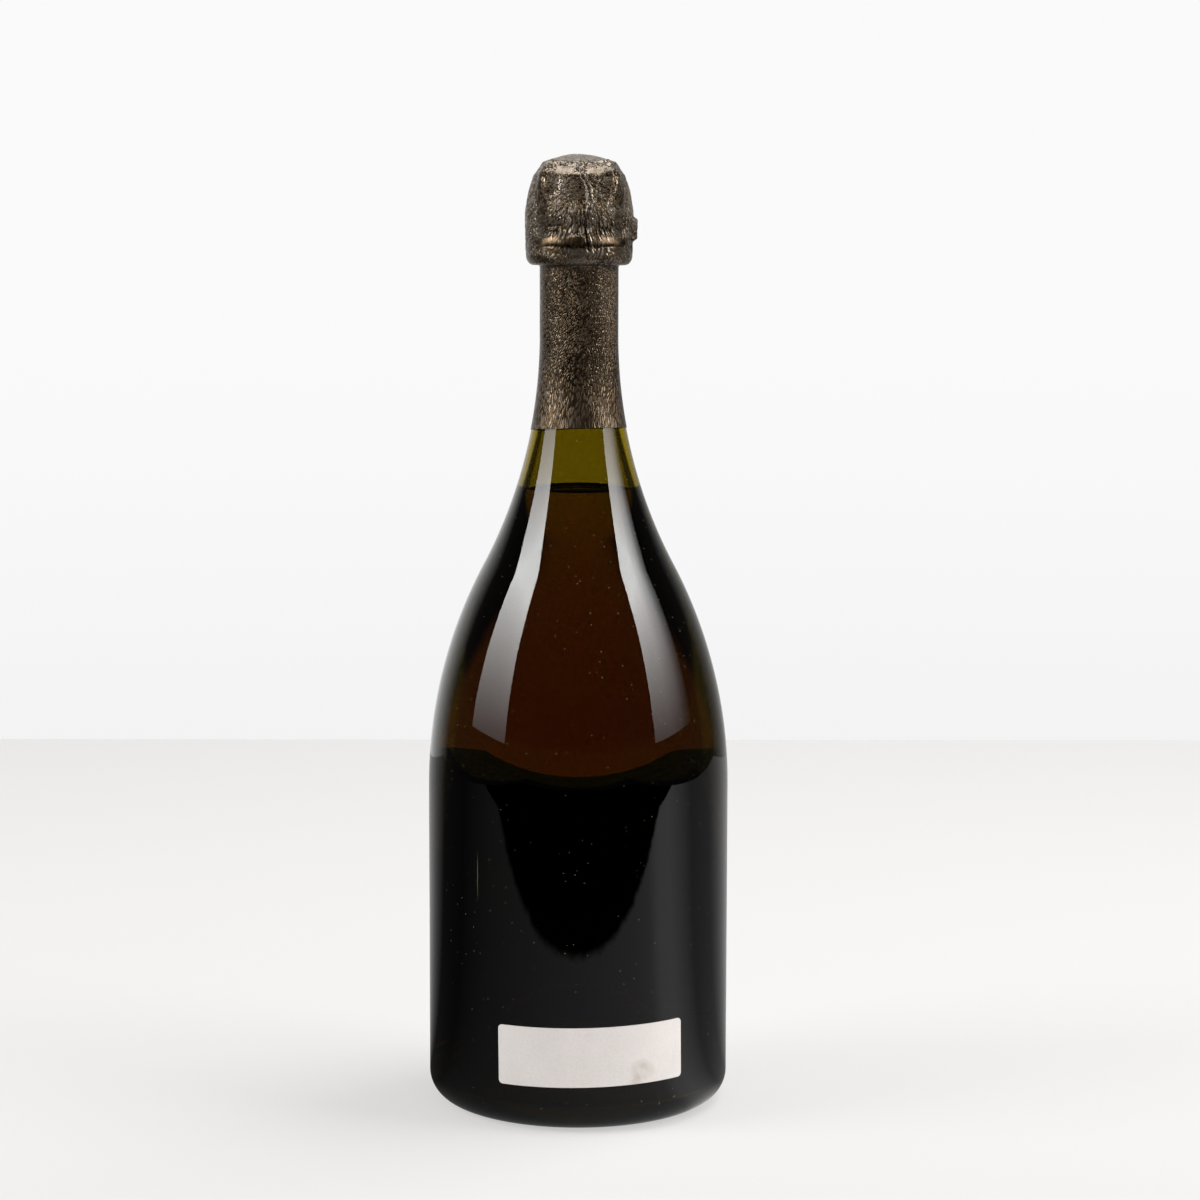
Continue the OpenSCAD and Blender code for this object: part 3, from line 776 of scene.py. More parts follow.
class BOTTLE_OT_wine(bpy.types.Operator):
    """Makes the wine, which fills the inside up to its level and climbs the glass a little at its edge"""

    bl_idname = "bottle.wine"
    bl_label = "Wine"

    def execute(self, context):
        """The inside's outline up to the wine's level, turned round the axis. From the glass inwards the
        surface falls by meniscus_h times 1 - e to the power -(distance / meniscus_w)."""
        s, c = context.scene.bottle_sizes, context.scene.bottle_colours
        wall = inside(s, WETTING)
        wall[0, 0] = 2 * CORE
        steep = wall[-100:]
        edge_r = np.interp(s.fill_z, steep[:, 1], steep[:, 0])
        below = wall[wall[:, 1] < s.fill_z]
        inward = np.linspace(0, 1, 40) ** 1.6
        top_r = edge_r * (1 - inward)
        top_z = s.fill_z - s.meniscus_h * (1 - np.exp(-(edge_r - top_r) / s.meniscus_w))
        top = np.stack([top_r, top_z], -1)[:-1]
        mesh = surface("wine_fill", turned(np.vstack([below, top]), 192))
        piece("wine_fill", mesh, "bottle", "wine_liquid", amber_wine(c), "wine", sharp=40)
        return {"FINISHED"}


def rounded_outline(w, h, corner, bow_z, bow_r):
    """Points round a rectangle with round corners, about its middle, anticlockwise. The circle of radius
    bow_r about the height bow_z is cut out of its upper edge."""
    bends = [
        arc((x * (w / 2 - corner), y * (h / 2 - corner)), corner, start, start + 90, 10)
        for x, y, start in [(1, -1, -90), (1, 1, 0), (-1, 1, 90), (-1, -1, 180)]
    ]
    sides = zip(bends, bends[1:] + bends[:1])
    outline = np.vstack([np.vstack([now, resample([now[-1], then[0]], 50)[1:-1]]) for now, then in sides])
    bowed = bow_z - np.sqrt(np.maximum(bow_r**2 - outline[:, 0] ** 2, 0))
    cut = (outline[:, 1] > 0) & (np.abs(outline[:, 0]) < bow_r)
    outline[:, 1] = np.where(cut, np.minimum(outline[:, 1], bowed), outline[:, 1])
    return outline


def label_mesh(s, name, w, h, corner, z, angle, tilt, dip=0, dip_w=1):
    """A sheet of paper on the glass: the outline shrinks to its middle over the face and the back, and a flat
    point (x, y) goes to the angle x / radius and the height y. The face rises a little, unevenly. The upper
    edge is bowed down by dip on an arc dip_w wide."""
    rows = 26
    bow_r = (dip_w**2 / 4 + dip**2) / (2 * dip) if dip else 0
    bow_z = h / 2 + bow_r - dip
    outline = rounded_outline(w, h, corner, bow_z, bow_r)
    share = np.concatenate([np.linspace(0.02, 1, rows), np.linspace(1, 0.02, rows)])
    face = np.concatenate([np.zeros(rows), np.ones(rows)])
    flat = share[:, None, None] * outline[None]
    turn = np.radians(tilt)
    x = flat[..., 0] * np.cos(turn) - flat[..., 1] * np.sin(turn)
    y = flat[..., 0] * np.sin(turn) + flat[..., 1] * np.cos(turn)
    lie = noise(flat_points(x, y) / (7 * MM), 11) * 0.5 + 0.5
    lift = GLUE + face[:, None] * s.paper_t + 0.04 * MM * lie
    mesh = surface(name, placed(outside_r(s, z + y) + lift, z + y, angle + np.degrees(x / s.body_r)))
    q = np.abs(flat) - [w / 2 - corner, h / 2 - corner]
    inside_by = corner - np.linalg.norm(np.maximum(q, 0), axis=-1) - np.minimum(q.max(-1), 0)
    from_bow = np.hypot(flat[..., 0], flat[..., 1] - bow_z) - bow_r
    attribute(mesh, "edge", np.minimum(inside_by, from_bow) if dip else inside_by)
    attribute(mesh, "flat_place", flat)
    return mesh


# Each label: width, height, corner radius, middle height, angle from -Y and tilt, and its upper edge's bow
STRIP = {"w": 59 * MM, "h": 18.2 * MM, "corner": 1.3 * MM, "z": 23.7 * MM, "angle": 5.5, "tilt": 0.7}
FRONT = {"w": 88 * MM, "h": 86.5 * MM, "corner": 4 * MM, "z": 59.25 * MM, "angle": 180, "tilt": 0}
FRONT_BOW = {"dip": 7.5 * MM, "dip_w": 32 * MM}
# The front label's printed border: each line's distance from the edge and half its width, in mm
BORDER = [(2.6, 0.45), (4.1, 0.16)]


class BOTTLE_OT_labels(bpy.types.Operator):
    """Makes the small strip label and the front label"""

    bl_idname = "bottle.labels"
    bl_label = "Labels"

    def execute(self, context):
        s, c = context.scene.bottle_sizes, context.scene.bottle_colours
        strip = label_mesh(s, "strip_paper", **STRIP)
        paper = label_paper(c, "strip_paper", c.paper)
        piece("strip_paper", strip, "bottle", "label_paper", paper, "strip_label", sharp=50)
        front = label_mesh(s, "front_paper", **FRONT, **FRONT_BOW)
        paper = label_paper(c, "front_paper", c.cream, BORDER)
        piece("front_paper", front, "bottle", "label_paper", paper, "front_label", sharp=50)
        return {"FINISHED"}


class BOTTLE_OT_cork(bpy.types.Operator):
    """Makes the cork: agglomerate body with a mushroom head grooved by the legs, and two natural discs"""

    bl_idname = "bottle.cork"
    bl_label = "Cork"

    def execute(self, context):
        """The head swells as a sine to its belly and narrows as a cosine to the plate. Each leg presses in a
        groove as round as its twisted pair of wires, and noise takes crumbs off."""
        s, c = context.scene.bottle_sizes, context.scene.bottle_colours
        fit, round_edge = 0.05 * MM, 0.6 * MM
        shaft = s.bore_r - fit
        end = s.mouth_z - s.cork_in
        foot = end + 2 * s.disc_t
        start, top = s.mouth_z + fit, s.mouth_z + s.head_h
        belly = s.mouth_z + 0.34 * s.head_h
        rim = seat_z(s) - PLATE_DROP
        neck = s.plate_r - s.plate_t - 0.2 * MM
        up = np.linspace(0, 1, 14)
        swell = s.head_r * (0.89 + 0.11 * np.sin(np.pi / 2 * up))
        taper = neck + (s.head_r - neck) * np.cos(np.pi / 2 * up)
        outline = np.vstack([
            [(CORE, foot), (shaft - 0.2 * MM, foot)],
            resample([(shaft, foot + 0.2 * MM), (shaft, start)], 24),
            np.stack([swell, start + (belly - start) * up], -1),
            np.stack([taper, belly + (rim - PLATE_RIM - belly) * up], -1)[1:],
            [(neck, rim - 0.15 * MM), (neck - 2 * MM, top), (neck - 2 * MM - round_edge, top), (CORE, top)],
        ])
        rings = turned(outline, 192)
        angle = np.arctan2(rings[..., 0], -rings[..., 1])
        angle = np.radians(np.degrees(angle) % 90 - 45)
        off = LEG_R * np.sin(angle)
        cut = PAIR_R + 0.3 * MM
        groove = LEG_R * np.cos(angle) - np.sqrt(np.maximum(cut**2 - off**2, 0))
        r = np.linalg.norm(rings[..., :2], axis=-1)
        cut_here = (np.abs(off) < cut) & (rings[..., 2] > start) & (r > groove)
        crumbs = 0.12 * MM * np.minimum(noise(rings / (1.1 * MM), 21), 0) * (r > 5 * MM)
        rings[..., :2] *= ((np.where(cut_here, groove, r) + crumbs) / r)[..., None]
        body = surface("cork_shape", rings)
        agglomerate = cork_grain(c, "agglomerate_cork", 2.2, 0.33)
        piece("cork_shape", body, "cork", "agglomerate_cork", agglomerate, "cork_body", sharp=50)
        natural = cork_grain(c, "natural_cork", 5, 0.26)
        for name, low in [("lower", end), ("upper", end + s.disc_t)]:
            high = low + s.disc_t
            rings = turned(resample([(CORE, low), (shaft, low), (shaft, high), (CORE, high)], 60), 128)
            rings[..., :2] *= 1 + 0.006 * np.minimum(noise(rings / (1.5 * MM), 23), 0)[..., None]
            mesh = surface("disc_" + name, rings)
            piece("disc_" + name, mesh, "cork", "natural_cork", natural, "cork_disc_" + name, sharp=40)
        return {"FINISHED"}


class BOTTLE_OT_cap_plate(bpy.types.Operator):
    """Makes the stamped cap plate: rim, bevel, seat for the wire ring and a domed middle"""

    bl_idname = "bottle.cap_plate"
    bl_label = "Cap plate"

    def execute(self, context):
        """The sheet's outline, up the inside and back down the outside of the rim, bevel, seat and dome,
        turned round the axis."""
        s, c = context.scene.bottle_sizes, context.scene.bottle_colours
        t = s.plate_t
        seat, button, seat_out = seat_z(s), button_r(s), s.top_ring_r + SEAT_HALF
        rim = seat - PLATE_DROP
        share = np.linspace(0.01, 1, 30)
        top = plate_top(s, share)
        mesh = surface("plate_shape", turned(np.vstack([
            np.stack([(button - t) * share, top - t], -1),
            [(button - t, seat - t), (seat_out - t / 2, seat - t), (s.plate_r - t, rim - t / 2)],
            [(s.plate_r - t, rim - PLATE_RIM), (s.plate_r, rim - PLATE_RIM)],
            [(s.plate_r, rim), (seat_out, seat), (button + t, seat)],
            np.stack([button * share, top], -1)[::-1],
        ]), 192))
        piece("plate_shape", mesh, "muselet", "tinplate", lacquered_tinplate(c), "cap_plate", sharp=35)
        return {"FINISHED"}


def bezier(points, t):
    """A cubic curve with four points, at the shares t."""
    p, t = np.asarray(points, float), np.asarray(t)[:, None]
    return (1 - t) ** 3 * p[0] + 3 * (1 - t) ** 2 * t * p[1] + 3 * (1 - t) * t**2 * p[2] + t**3 * p[3]


def square_to(points, t):
    """The two directions square to t at each point: one as near as can be to straight out, and one across."""
    t = unit(t)
    across = unit(np.cross(points * [1, 1, 0], t))
    return np.cross(t, across), across


def wire(path, radius, out, across):
    """Rings of a round wire along a path, in the plane of the two directions given."""
    sides = 12
    a = -np.arange(sides) * WHOLE_TURN / sides
    return path[:, None] + radius * (np.cos(a)[:, None] * out[:, None] + np.sin(a)[:, None] * across[:, None])


def tube(path, radius, closed=False):
    """Rings of a round wire square to its path."""
    t = np.roll(path, -1, 0) - np.roll(path, 1, 0) if closed else np.gradient(path, axis=0)
    return wire(path, radius, *square_to(path, t))


def joined(name, meshes):
    """One mesh that holds several."""
    made = [linked(mesh.name, mesh) for mesh in meshes]
    bpy.ops.object.select_all(action="DESELECT")
    for obj in made:
        obj.select_set(True)
    bpy.context.view_layer.objects.active = made[0]
    bpy.ops.object.join()
    mesh = made[0].data
    bpy.data.objects.remove(made[0])
    mesh.name = name
    return mesh


class BOTTLE_OT_cage(bpy.types.Operator):
    """Makes the wire cage: a top ring, four twisted legs with their eyes, and the belt wire with its key"""

    bl_idname = "bottle.cage"
    bl_label = "Wire cage"

    def execute(self, context):
        """The ring and the eyes are circles of wire, level and in planes through the axis. A straight stalk
        joins each eye to its leg."""
        s, c = context.scene.bottle_sizes, context.scene.bottle_colours
        steel = galvanised_wire(c)
        wire_r = s.wire_d / 2
        ring = placed(s.top_ring_r, seat_z(s) + 0.05 * MM + wire_r, np.arange(0, 360, 2.5))
        legs = [surface("ring", tube(ring, wire_r, True), "loop")]
        for angle in LEG_ANGLES:
            for phase in (0, 180):
                legs.append(surface("strand", tube(self.strand(s, angle, phase), 0.44 * MM)))
        piece("cage_shape", joined("cage_shape", legs), "muselet", "cage_steel", steel, "cage_wire", sharp=50)
        belt_z = (s.groove_z + s.lip_z) / 2
        eye_wire = 0.42 * MM
        eye_r = s.belt_d / 2 + eye_wire + 0.1 * MM
        belt_r = s.groove_r + 0.1 * MM + eye_wire + eye_r
        turn = np.radians(np.arange(0, 360, 15))
        eyes = []
        for angle in LEG_ANGLES:
            eye = placed(belt_r + eye_r * np.cos(turn), belt_z + eye_r * np.sin(turn), angle)
            eyes.append(surface("eye", self.eye_tube(eye, eye_wire, angle), "loop"))
            stalk = placed(LEG_R, np.linspace(belt_z + eye_r / 2, s.lip_z + 0.05 * MM, 8), angle)
            eyes.append(surface("stalk", tube(stalk, eye_wire)))
        piece("eye_shapes", joined("eye_shapes", eyes), "muselet", "cage_steel", steel, "leg_eyes", sharp=50)
        belt = surface("belt_shape", tube(self.belt(s, belt_r, belt_z), s.belt_d / 2, True), "loop")
        piece("belt_shape", belt, "muselet", "cage_steel", steel, "belt_wire", sharp=50)
        return {"FINISHED"}

    def eye_tube(self, path, radius, angle):
        """Rings of wire round an eye, whose circle lies in the plane through the axis."""
        side = placed(1, 0, angle + 90) + 0 * path
        out = np.cross(side, unit(np.roll(path, -1, 0) - np.roll(path, 1, 0)))
        return wire(path, radius, out, side)

    def strand(self, s, angle, phase):
        """One wire of a twisted leg: it winds round the leg's middle, which climbs straight, bends over the
        rim and runs in to the top ring. The two wires draw together over the last third."""
        seat = seat_z(s)
        end_z = seat + 0.1 * MM + 0.7 * PAIR_R
        top = straight_z(s)
        straight = np.stack([np.full(40, LEG_R), np.linspace(s.lip_z + 0.5 * MM, top, 40)], -1)
        bend = bezier([
            (LEG_R, top),
            (LEG_R, seat - 2 * PLATE_DROP),
            (s.plate_r + PAIR_R + 0.35 * s.wire_d, seat - 0.5 * s.wire_d),
            (s.top_ring_r + 1.4 * s.wire_d, end_z),
        ], np.linspace(0, 1, 60))
        last = np.linspace(bend[-1], [s.top_ring_r, end_z], 16)
        line = resample(np.vstack([straight, bend[1:], last[1:]]), 150)
        t = unit(np.gradient(line, axis=0))
        share = np.linspace(0, 1, len(line))
        wind = np.radians(phase + 360 * 4.5 * share)
        off = 0.4 * MM * (1 - 0.5 * smooth(0.66, 1, share))
        forth = off * np.sin(wind)
        point = placed(line[:, 0] + forth * t[:, 1], line[:, 1] - forth * t[:, 0], angle)
        return point + placed(1, 0, angle + 90) * (off * np.cos(wind))[:, None]

    def belt(self, s, belt_r, belt_z):
        """The belt wire's path: round the groove, up one strand of the twisted stem, round the key's loop and
        down the other strand."""
        start, span = 88, 38
        key_r = LEG_R + PAIR_R + s.belt_d / 2 + 0.05 * MM
        middle_z = key_z(s)
        stem_span, half_h, off = 0.42 * span, 1.7 * MM, 0.43 * MM
        run = np.radians(span - stem_span) * key_r
        stem_points = [
            placed(belt_r + s.belt_d, belt_z + s.belt_d, start),
            placed(LEG_R, s.lip_z + (s.mouth_z - s.lip_z) / 4, start),
            placed(LEG_R, middle_z, start + stem_span / 2),
            placed(key_r, middle_z, start + stem_span),
        ]

        def strand(share, phase):
            """Part of the stem: it winds once round the stem's middle, easing in and out as a cosine."""
            middle = bezier(stem_points, share)
            ahead = bezier(stem_points, share + 0.01) - bezier(stem_points, share - 0.01)
            out, across = square_to(middle, ahead)
            a = np.radians(phase + 180 * (1 - np.cos(np.pi * share)))[:, None]
            return middle + off * (np.cos(a) * across + np.sin(a) * out)

        def bend(sign, phase):
            """A cubic curve from one end of the run round the groove to the foot of a strand."""
            first = strand(np.array([0.0]), phase)[0]
            step = bezier(stem_points, np.array([0.0]))[0] - bezier(stem_points, np.array([0.2]))[0]
            ends = [placed(belt_r, belt_z, start + sign * turned_by) for turned_by in (13, 6.5)]
            return bezier([*ends, first + step, first], np.linspace(0, 1, 12)[1:-1])

        share = np.linspace(0, 1, 40)
        widening = off + (half_h - off) * (1 - np.cos(np.pi * share)) / 2
        opening = np.stack([run * 0.5 * share, widening], -1)[1:]
        half = np.vstack([opening, arc((run - half_h, 0), half_h, 90, 4, 14)])
        key = np.vstack([half, half[::-1] * [1, -1]])
        return np.vstack([
            placed(belt_r, belt_z, start + 13 + np.linspace(0, 334, 130)),
            bend(-1, 0),
            strand(share, 0),
            placed(key_r, middle_z + key[:, 1], start + stem_span + np.degrees(key[:, 0] / key_r)),
            strand(share[::-1], 180),
            bend(1, 180)[::-1],
        ])


def crumpled(base):
    """Height of hand-pressed foil over its smooth shape: soft dents 7 mm wide, and creases 2.4 mm wide and
    less, bent by a slow noise so that they don't run in rows."""
    bend = np.stack([noise(base / (5 * MM), 31 + k) for k in range(3)], -1)
    p = base + bend * 1.6 * MM
    dents = 0.13 * MM * noise(base / (7 * MM), 37)
    coarse = 0.06 * MM * np.maximum(creases(p / (2.4 * MM), 2, 41), -0.4)
    fine = 0.05 * MM * np.maximum(creases(p / (1.1 * MM), 1, 51), -0.4)
    return dents + coarse + fine


def ring_wrinkle_share(front):
    """How wrinkled the foil is where the hood meets the skirt: little on the left, more on the right."""
    return 0.22 + 0.6 * band(front, 12, 26, 75, 95)


def seam_distance(front, h):
    """Distance in mm across from the capsule's seam, which leans to the right as it goes down."""
    line_h = [262.8, 272, 275, 278.5, 282, 285, 287, 292]
    line_x = [3, 1.7, 2.2, 2.5, 2.4, 0.9, 0.2, 0.3]
    return np.radians(front) * HOOD_R - np.interp(h, line_h, line_x)


def fan(front, h, least):
    """The wrinkles fan from a point high on the seam. Gives how far across from it a point lies, in mm, the
    angle down to it in degrees, where it is taken to be the least distance below, and how far away it is."""
    across, down = np.radians(front - 6) * HOOD_R, 287 - h
    return across + 0 * h, np.degrees(np.arctan2(across, np.maximum(down, least))), np.hypot(across, down)


class BOTTLE_OT_foil(bpy.types.Operator):
    """Makes the foil: the skirt round the neck up to the tear line, and the crumpled hood above it"""

    bl_idname = "bottle.foil"
    bl_label = "Foil"

    def execute(self, context):
        s, c = context.scene.bottle_sizes, context.scene.bottle_colours
        foil = lacquered_foil(c)
        self.skirt(s, foil)
        self.hood(s, foil)
        return {"FINISHED"}

    def skirt(self, s, foil):
        """The neck's outline moved out by the glue and the foil. The lower edge is cut at a slant."""
        cols, rows, inner_rows = 288, 190, 40
        angle = np.arange(cols) * 360 / cols
        front = (angle + 180) % 360 - 180

        def rings(gap, count):
            """The outline that far off the glass. Its foot lies on the slanted edge, and over the first 12 mm
            the rows move with it by (1 - share)^2."""
            line = np.vstack([
                shoulder(s, s.neck_r, s.body_r, gap),
                arc((s.neck_r + NECK_FILLET, s.ring_z - NECK_FILLET), NECK_FILLET - gap, 180, 90, 6),
                arc((s.ring_r - RING_ROUND, s.ring_z + RING_ROUND), RING_ROUND + gap, -90, 0, 12),
                [(s.ring_r + gap, s.tear_z - 0.03 * MM)],
            ])
            line = resample(line[line[:, 1] > s.skirt_z - 3 * MM], count)
            grid = turned(line, cols)
            turn = np.radians(angle)
            edge = s.skirt_z + MM * (0.35 * np.sin(turn) + np.cos(turn) - 0.4)
            share = np.clip((line[:, 1] - line[0, 1]) / (12 * MM), 0, 1)[:, None]
            z = grid[..., 2] + (edge - line[0, 1])[None] * (1 - share) ** 2
            on_neck = (line[:, 1] < s.neck_z)[:, None]
            r = np.where(on_neck, outside_r(s, z) + gap, np.linalg.norm(grid[..., :2], axis=-1))
            return placed(r, z, angle[None])

        outer, inner = rings(GLUE + s.foil_t, rows), rings(GLUE, inner_rows)
        h = outer[..., 2] / MM
        on_ring = smooth(256, 260, h)
        soft = 0.035 * MM * noise(outer * [1, 1, 0.3] / (4 * MM), 61)
        bunch = crumpled(outer) * on_ring * ring_wrinkle_share(front)
        flare = 0.25 * MM * smooth(s.ring_z + 0.8 * MM, s.tear_z, outer[..., 2])
        push = np.maximum(soft, -0.03 * MM) + np.maximum(bunch, -0.05 * MM) + flare
        outer = outer + outward(outer) * push[..., None]
        mesh = surface("foil_skirt_shape", np.concatenate([outer, inner[::-1]]), "loop")
        inside_of = np.full((inner_rows, cols), 0.3)
        # Colour level: painted shade in the crumple's hollows and painted highlight on its crests, painted
        # highlight round the ring that is strongest at the front, and a painted dark reflection in a band
        # left of the front, above 218 mm and below the ring. It is also a little paler towards the lower
        # edge.
        middle = bell(front + 14, 9) * smooth(218, 232, h)
        level = (soft + bunch) / (0.4 * MM) - 0.13 + 0.08 * smooth(222, 208, h)
        level = level + on_ring * (0.06 + 0.36 * bell(front, 24)) - 0.16 * middle * (1 - on_ring)
        calm_ring = 0.85 * (1 - ring_wrinkle_share(front))
        calm_neck = 0.52 + 0.16 * smooth(236, 210, h)
        calm = on_ring * calm_ring + (1 - on_ring) * calm_neck
        slant = 0.1 + 0.4 * smooth(225, 245, h)
        across = np.radians(front) * 12 - slant * (h - 225) + 0.5 * noise(outer / (6 * MM), 67)
        up = np.clip((h - 212) / 28, 0, 1)
        along = 0.3 * h + 0.7 * (28 * (up**3 - up**4 / 2) + np.maximum(h - 240, 0))
        flow = np.stack([across, along], -1) * MM
        attribute(mesh, "relief", np.concatenate([level, inside_of]))
        attribute(mesh, "smoothness", np.concatenate([calm, inside_of]))
        attribute(mesh, "flow", np.concatenate([flow, flow[:inner_rows]]))
        attribute(mesh, "flow_share", np.ones((rows + inner_rows, cols)))
        piece("foil_skirt_shape", mesh, "bottle", "foil", foil, "foil_skirt", sharp=60)

    def hood(self, s, foil):
        """The foil over the cage: up past the key, over the cork's head, in over the plate's rim and bevel,
        over the wire ring and up the plate's dome, crumpled everywhere. The columns lie closer at the front.
        Each row has a mark t: 0 at the tear line, 1 where it bends in, 2 at the plate's rim, 3 at the wire
        ring and 4 to 9 over the dome."""
        cols, rows, inner_rows = 420, 200, 24
        turn = np.arange(cols) / cols
        angle = 360 * turn - np.degrees(0.55 * np.sin(WHOLE_TURN * turn))
        front = (angle + 180) % 360 - 180
        seat, gap = seat_z(s), 0.15 * MM
        in_r = LEG_R + PAIR_R + gap
        dome = np.linspace(1, 0.01, 24)
        corners = np.vstack([
            [(in_r, s.tear_z), (in_r, straight_z(s) - 0.06 * s.head_h)],
            [(s.plate_r + gap, seat - PLATE_DROP + gap)],
            [(0.81 * s.plate_r, seat + s.wire_d + 2 * gap + 0.1 * MM)],
            np.stack([button_r(s) * dome, plate_top(s, dome) + gap], -1),
        ])
        marks = np.concatenate([np.arange(4), 4 + 5 * (1 - dome)])
        lengths = np.linalg.norm(np.diff(corners, axis=0), axis=1)

        def rings(count, out):
            """The outline, moved out by out. It bulges as a sine between the marks 1 and 2. It rises over
            each leg by a squared cosine across times a sine along, and over the key by a soft-sided bump."""
            s_at = np.concatenate([[0], np.cumsum(lengths)])
            even = np.linspace(0, s_at[-1], count)
            t, r, z = (np.interp(even, s_at, values) for values in (marks, *corners.T))
            r = r + np.where((t > 1) & (t < 2), 0.45 * MM * np.sin(np.pi * (t - 1)), 0)
            near = np.abs(angle % 90 - 45)
            across = np.where(near < 21, np.cos(np.pi / 2 * near / 21) ** 2, 0)
            over = np.where((t > 1) & (t < 3.4), 2 * MM * np.sin(np.pi * (t - 1) / 2.4), 0)
            beside, over_it = (
                smooth(0, 1, 2 * np.cos(np.pi / 2 * np.minimum(1, np.abs(off))))
                for off in ((angle - 107) / 34, (z - key_z(s)) / (4.05 * MM))
            )
            bump = 1.25 * MM * beside[None] * (over_it * (t < 1.5))[:, None]
            push = out + over[:, None] * across[None] + bump
            way = unit(np.stack([r + s.foil_t, np.maximum(0, z - straight_z(s))], -1))
            return placed(r[:, None] + push * way[:, :1], z[:, None] + push * way[:, 1:], angle[None]), t, way

        inner, _, _ = rings(inner_rows, 0)
        outer, t, way = rings(rows, s.foil_t)
        h, inner_h, tear = outer[..., 2] / MM, inner[..., 2] / MM, s.tear_z / MM
        calm = self.calm(front, h, t)
        at_line = smooth(tear + 3, tear, h)
        share = (1 - 0.85 * calm) * (1 - at_line) + at_line * ring_wrinkle_share(front)
        share = share * (1 + 0.8 * smooth(30, 48, np.abs(front)) * (1 - at_line))
        relief = np.maximum(crumpled(outer) * share + self.folds(front, h), -0.12 * MM)
        direction = placed(way[:, :1], way[:, 1:], angle[None])
        outer = outer + direction * (relief - self.crimp(front, h, tear))[..., None]
        inner = inner - placed(1, 0, angle[None]) * self.crimp(front, inner_h, tear)[..., None]
        mesh = surface("foil_hood_shape", np.concatenate([inner[::-1], outer]))
        inside_of = np.full(inner.shape[:2], 0.3)
        # Colour level: the painted light and shade of shade(), painted shade in the crumple's hollows and
        # painted highlight on its crests, and painted shade in the slit
        level = self.shade(front, h, t) + relief / (0.38 * MM) - 0.9 * self.slit(front, h)
        flow, flow_share = self.flow(front, h)
        attribute(mesh, "relief", np.concatenate([inside_of, level]))
        attribute(mesh, "smoothness", np.concatenate([inside_of, calm]))
        attribute(mesh, "flow", np.concatenate([flow[:inner_rows], flow]))
        attribute(mesh, "flow_share", np.concatenate([inside_of, flow_share]))
        piece("foil_hood_shape", mesh, "hood", "foil", foil, "foil_hood", sharp=70)

    # In the following, front is the angle from -Y in degrees, h the height in mm and t the row's mark

    def calm(self, front, h, t):
        """How smooth the foil is: most on the plate's bevel and on the crimped roll, a little on the dome."""
        facets = smooth(15, 10, np.abs(front + 19)) + smooth(14, 9, np.abs(front - 22))
        facets = np.maximum(facets, 0.7 * smooth(75, 90, np.abs(front)) * (np.abs(front % 90 - 45) > 12))
        bevel = band(t, 1.98, 2.1, 2.5, 2.7)[:, None] * np.clip(facets, 0, 1)
        roll = smooth(268.6, 267.2, h) * smooth(62, 48, np.abs(front - 4))
        roll = roll * np.where(h > 264.4, 1, 1 - ring_wrinkle_share(front))
        dome = 0.3 * smooth(3.4, 4.2, t)[:, None]
        return np.clip(np.maximum(np.maximum(bevel, 0.85 * roll), dome), 0, 1)

    def shade(self, front, h, t):
        """Painted light and shade in the foil's colour, from below 0 for painted shade to 1 for painted
        highlight. The bevel, two spots on the roll and the ring, most at its front, carry painted highlights,
        and the dome is paler. The crimp's groove and its ends, a line under the plate's rim, the foil under
        the rim, the flanks and a strip beside the seam carry painted shade."""
        bevel = band(t, 2.02, 2.2, 2.5, 2.7)[:, None] * smooth(44, 30, np.abs(front - 3))
        bevel = bevel * smooth(4, 9, np.abs(front - 1.5))
        dome = smooth(3.3, 4, t)[:, None]
        # Painted highlight on the roll at two angles, with painted shade between and beyond them
        roll_painted_highlight = bell(front + 24, 11) + bell(front - 29, 11) - 0.45
        roll = band(h, 265.2, 266, 267, 268.6) * roll_painted_highlight
        ring = smooth(264.6, 264, h) * (0.5 + 1.2 * bell(front, 24))
        rim = bell(t - 1.93, 0.05)[:, None]
        groove = 0.72 * band(h, 264.2, 264.6, 265.1, 265.8) * smooth(58, 50, np.abs(front - 3))
        groove = np.maximum(groove, bell(np.abs(front - 3) - 52, 6) * bell(h - 266.2, 1.4))
        under = band(h, 272, 277, 283.5, 285.5) * smooth(42, 22, np.abs(front))
        beside = bell(seam_distance(front, h) + 1.5, 1) * band(h, 273, 276, 285, 287)
        flank = bell(np.abs(front) - 44, 9) * band(h, 276, 280, 286, 288)
        # pale holds the painted highlights and the paler dome; each term taken off is painted shade
        pale = 0.3 * (bevel + dome + roll + ring)
        return pale - 0.13 - 0.3 * rim - 0.65 * groove - 0.16 * under - 0.2 * beside - 0.35 * flank

    def flow(self, front, h):
        """Where each point lies across and along the foil's grain, in metres, and how much the grain follows
        it there. It fans down and out from a point high on the seam, and runs down the flanks."""
        arc_x = np.radians(front) * HOOD_R
        _, spoke, far = fan(front, h, 1)
        flank = smooth(38, 52, np.abs(front - 2))
        sway = 0.5 * noise(flat_points(arc_x, h) / 4, 83)
        x = 0.25 * spoke * (1 - flank) + arc_x * flank + sway
        y = 0.45 * far * (1 - flank) + h * flank
        down = 287 - h
        share = np.maximum(smooth(6, 14, down), 0.75 * flank * smooth(2, 8, down))
        return np.stack([x, y], -1) * MM, share

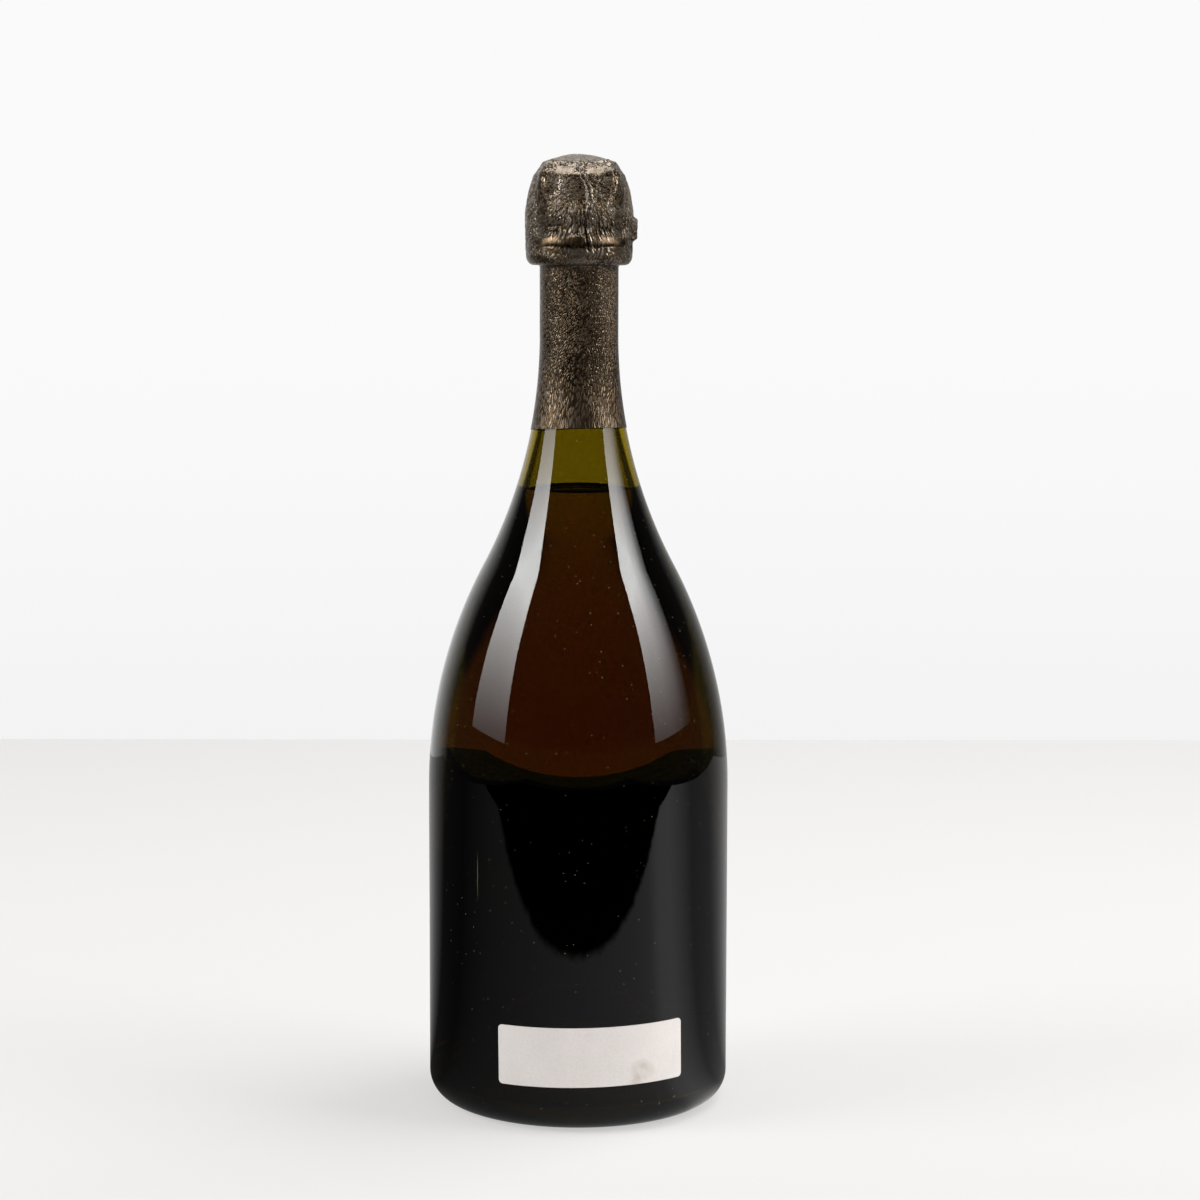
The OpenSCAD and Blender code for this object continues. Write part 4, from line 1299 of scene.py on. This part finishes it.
    def folds(self, front, h):
        """Height of the wrinkles that fan from a point high on the seam, and of the seam's thin ridges."""
        across, spoke, far = fan(front, h, 0.5)
        wander = noise(flat_points(across, h) / 5, 73)
        rays = 1 - 2 * np.abs(noise(flat_points(spoke / 3.6 + 0.5 * wander, far / 8), 71))
        where = smooth(8, 14, far) * smooth(64, 46, np.abs(spoke)) * smooth(266.8, 268.6, h)
        seam_x = seam_distance(front, h)
        shift = seam_x + 0.5 * noise(flat_points(0, h / 3), 75)
        ridge = (bell(shift, 0.3) + 0.7 * bell(shift - 1.5, 0.28)) * band(h, 272, 275, 290, 293.5)
        lifted = bell(seam_x - 1, 0.4) * smooth(273.5, 271.5, h)
        return (0.17 * where * np.maximum(rays, -0.4) + 0.32 * ridge + 0.14 * lifted) * MM

    def crimp(self, front, h, tear):
        """Depth of the two hollows that are crimped in above and below a round roll under the lip, of the
        slit that runs down from the seam, and of the foil's turn in at the tear line."""
        upper = band(h, 265.8, 269.8, 270.3, 274.5)
        lower = band(h, 264.45, 264.8, 264.9, 266)
        behind = 0.8 * smooth(58, 46, np.abs(np.abs(front) - 180))
        reach = np.maximum(smooth(60, 46, np.abs(front - 4)), behind)
        clear_of_legs = 1 - 0.95 * bell(np.abs(front) % 90 - 45, 6)
        rolled = (0.9 * upper + 0.15 * lower) * reach * clear_of_legs
        return (rolled + 0.45 * self.slit(front, h) + 0.06 * smooth(tear + 1.6, tear, h)) * MM

    def slit(self, front, h):
        """The narrow slit below the seam's end: 1 in its middle, 0 outside it."""
        return bell(seam_distance(front, h), 0.46) * band(h, 262.9, 264, 271.5, 273.5)


class BOTTLE_PT_pieces(bpy.types.Panel):
    """Lists the operators that make the bottle"""

    bl_idname = "BOTTLE_PT_pieces"
    bl_label = "Champagne bottle"
    bl_space_type = "VIEW_3D"
    bl_region_type = "UI"
    bl_category = "Bottle"

    def draw(self, context):
        for operator in OPERATORS:
            self.layout.operator(operator.bl_idname)


OPERATORS = (
    BOTTLE_OT_stage, BOTTLE_OT_glass, BOTTLE_OT_wine, BOTTLE_OT_labels,
    BOTTLE_OT_cork, BOTTLE_OT_cap_plate, BOTTLE_OT_cage, BOTTLE_OT_foil,
)
CLASSES = (BottleSizes, BottleColours, *OPERATORS, BOTTLE_PT_pieces)


def register():
    for each in CLASSES:
        bpy.utils.register_class(each)
    bpy.types.Scene.bottle_sizes = bpy.props.PointerProperty(type=BottleSizes)
    bpy.types.Scene.bottle_colours = bpy.props.PointerProperty(type=BottleColours)


def unregister():
    del bpy.types.Scene.bottle_colours
    del bpy.types.Scene.bottle_sizes
    for each in reversed(CLASSES):
        bpy.utils.unregister_class(each)


def main():
    register()
    for operator in OPERATORS:
        getattr(bpy.ops.bottle, operator.bl_idname.split(".")[1])()


if __name__ == "__main__":
    main()
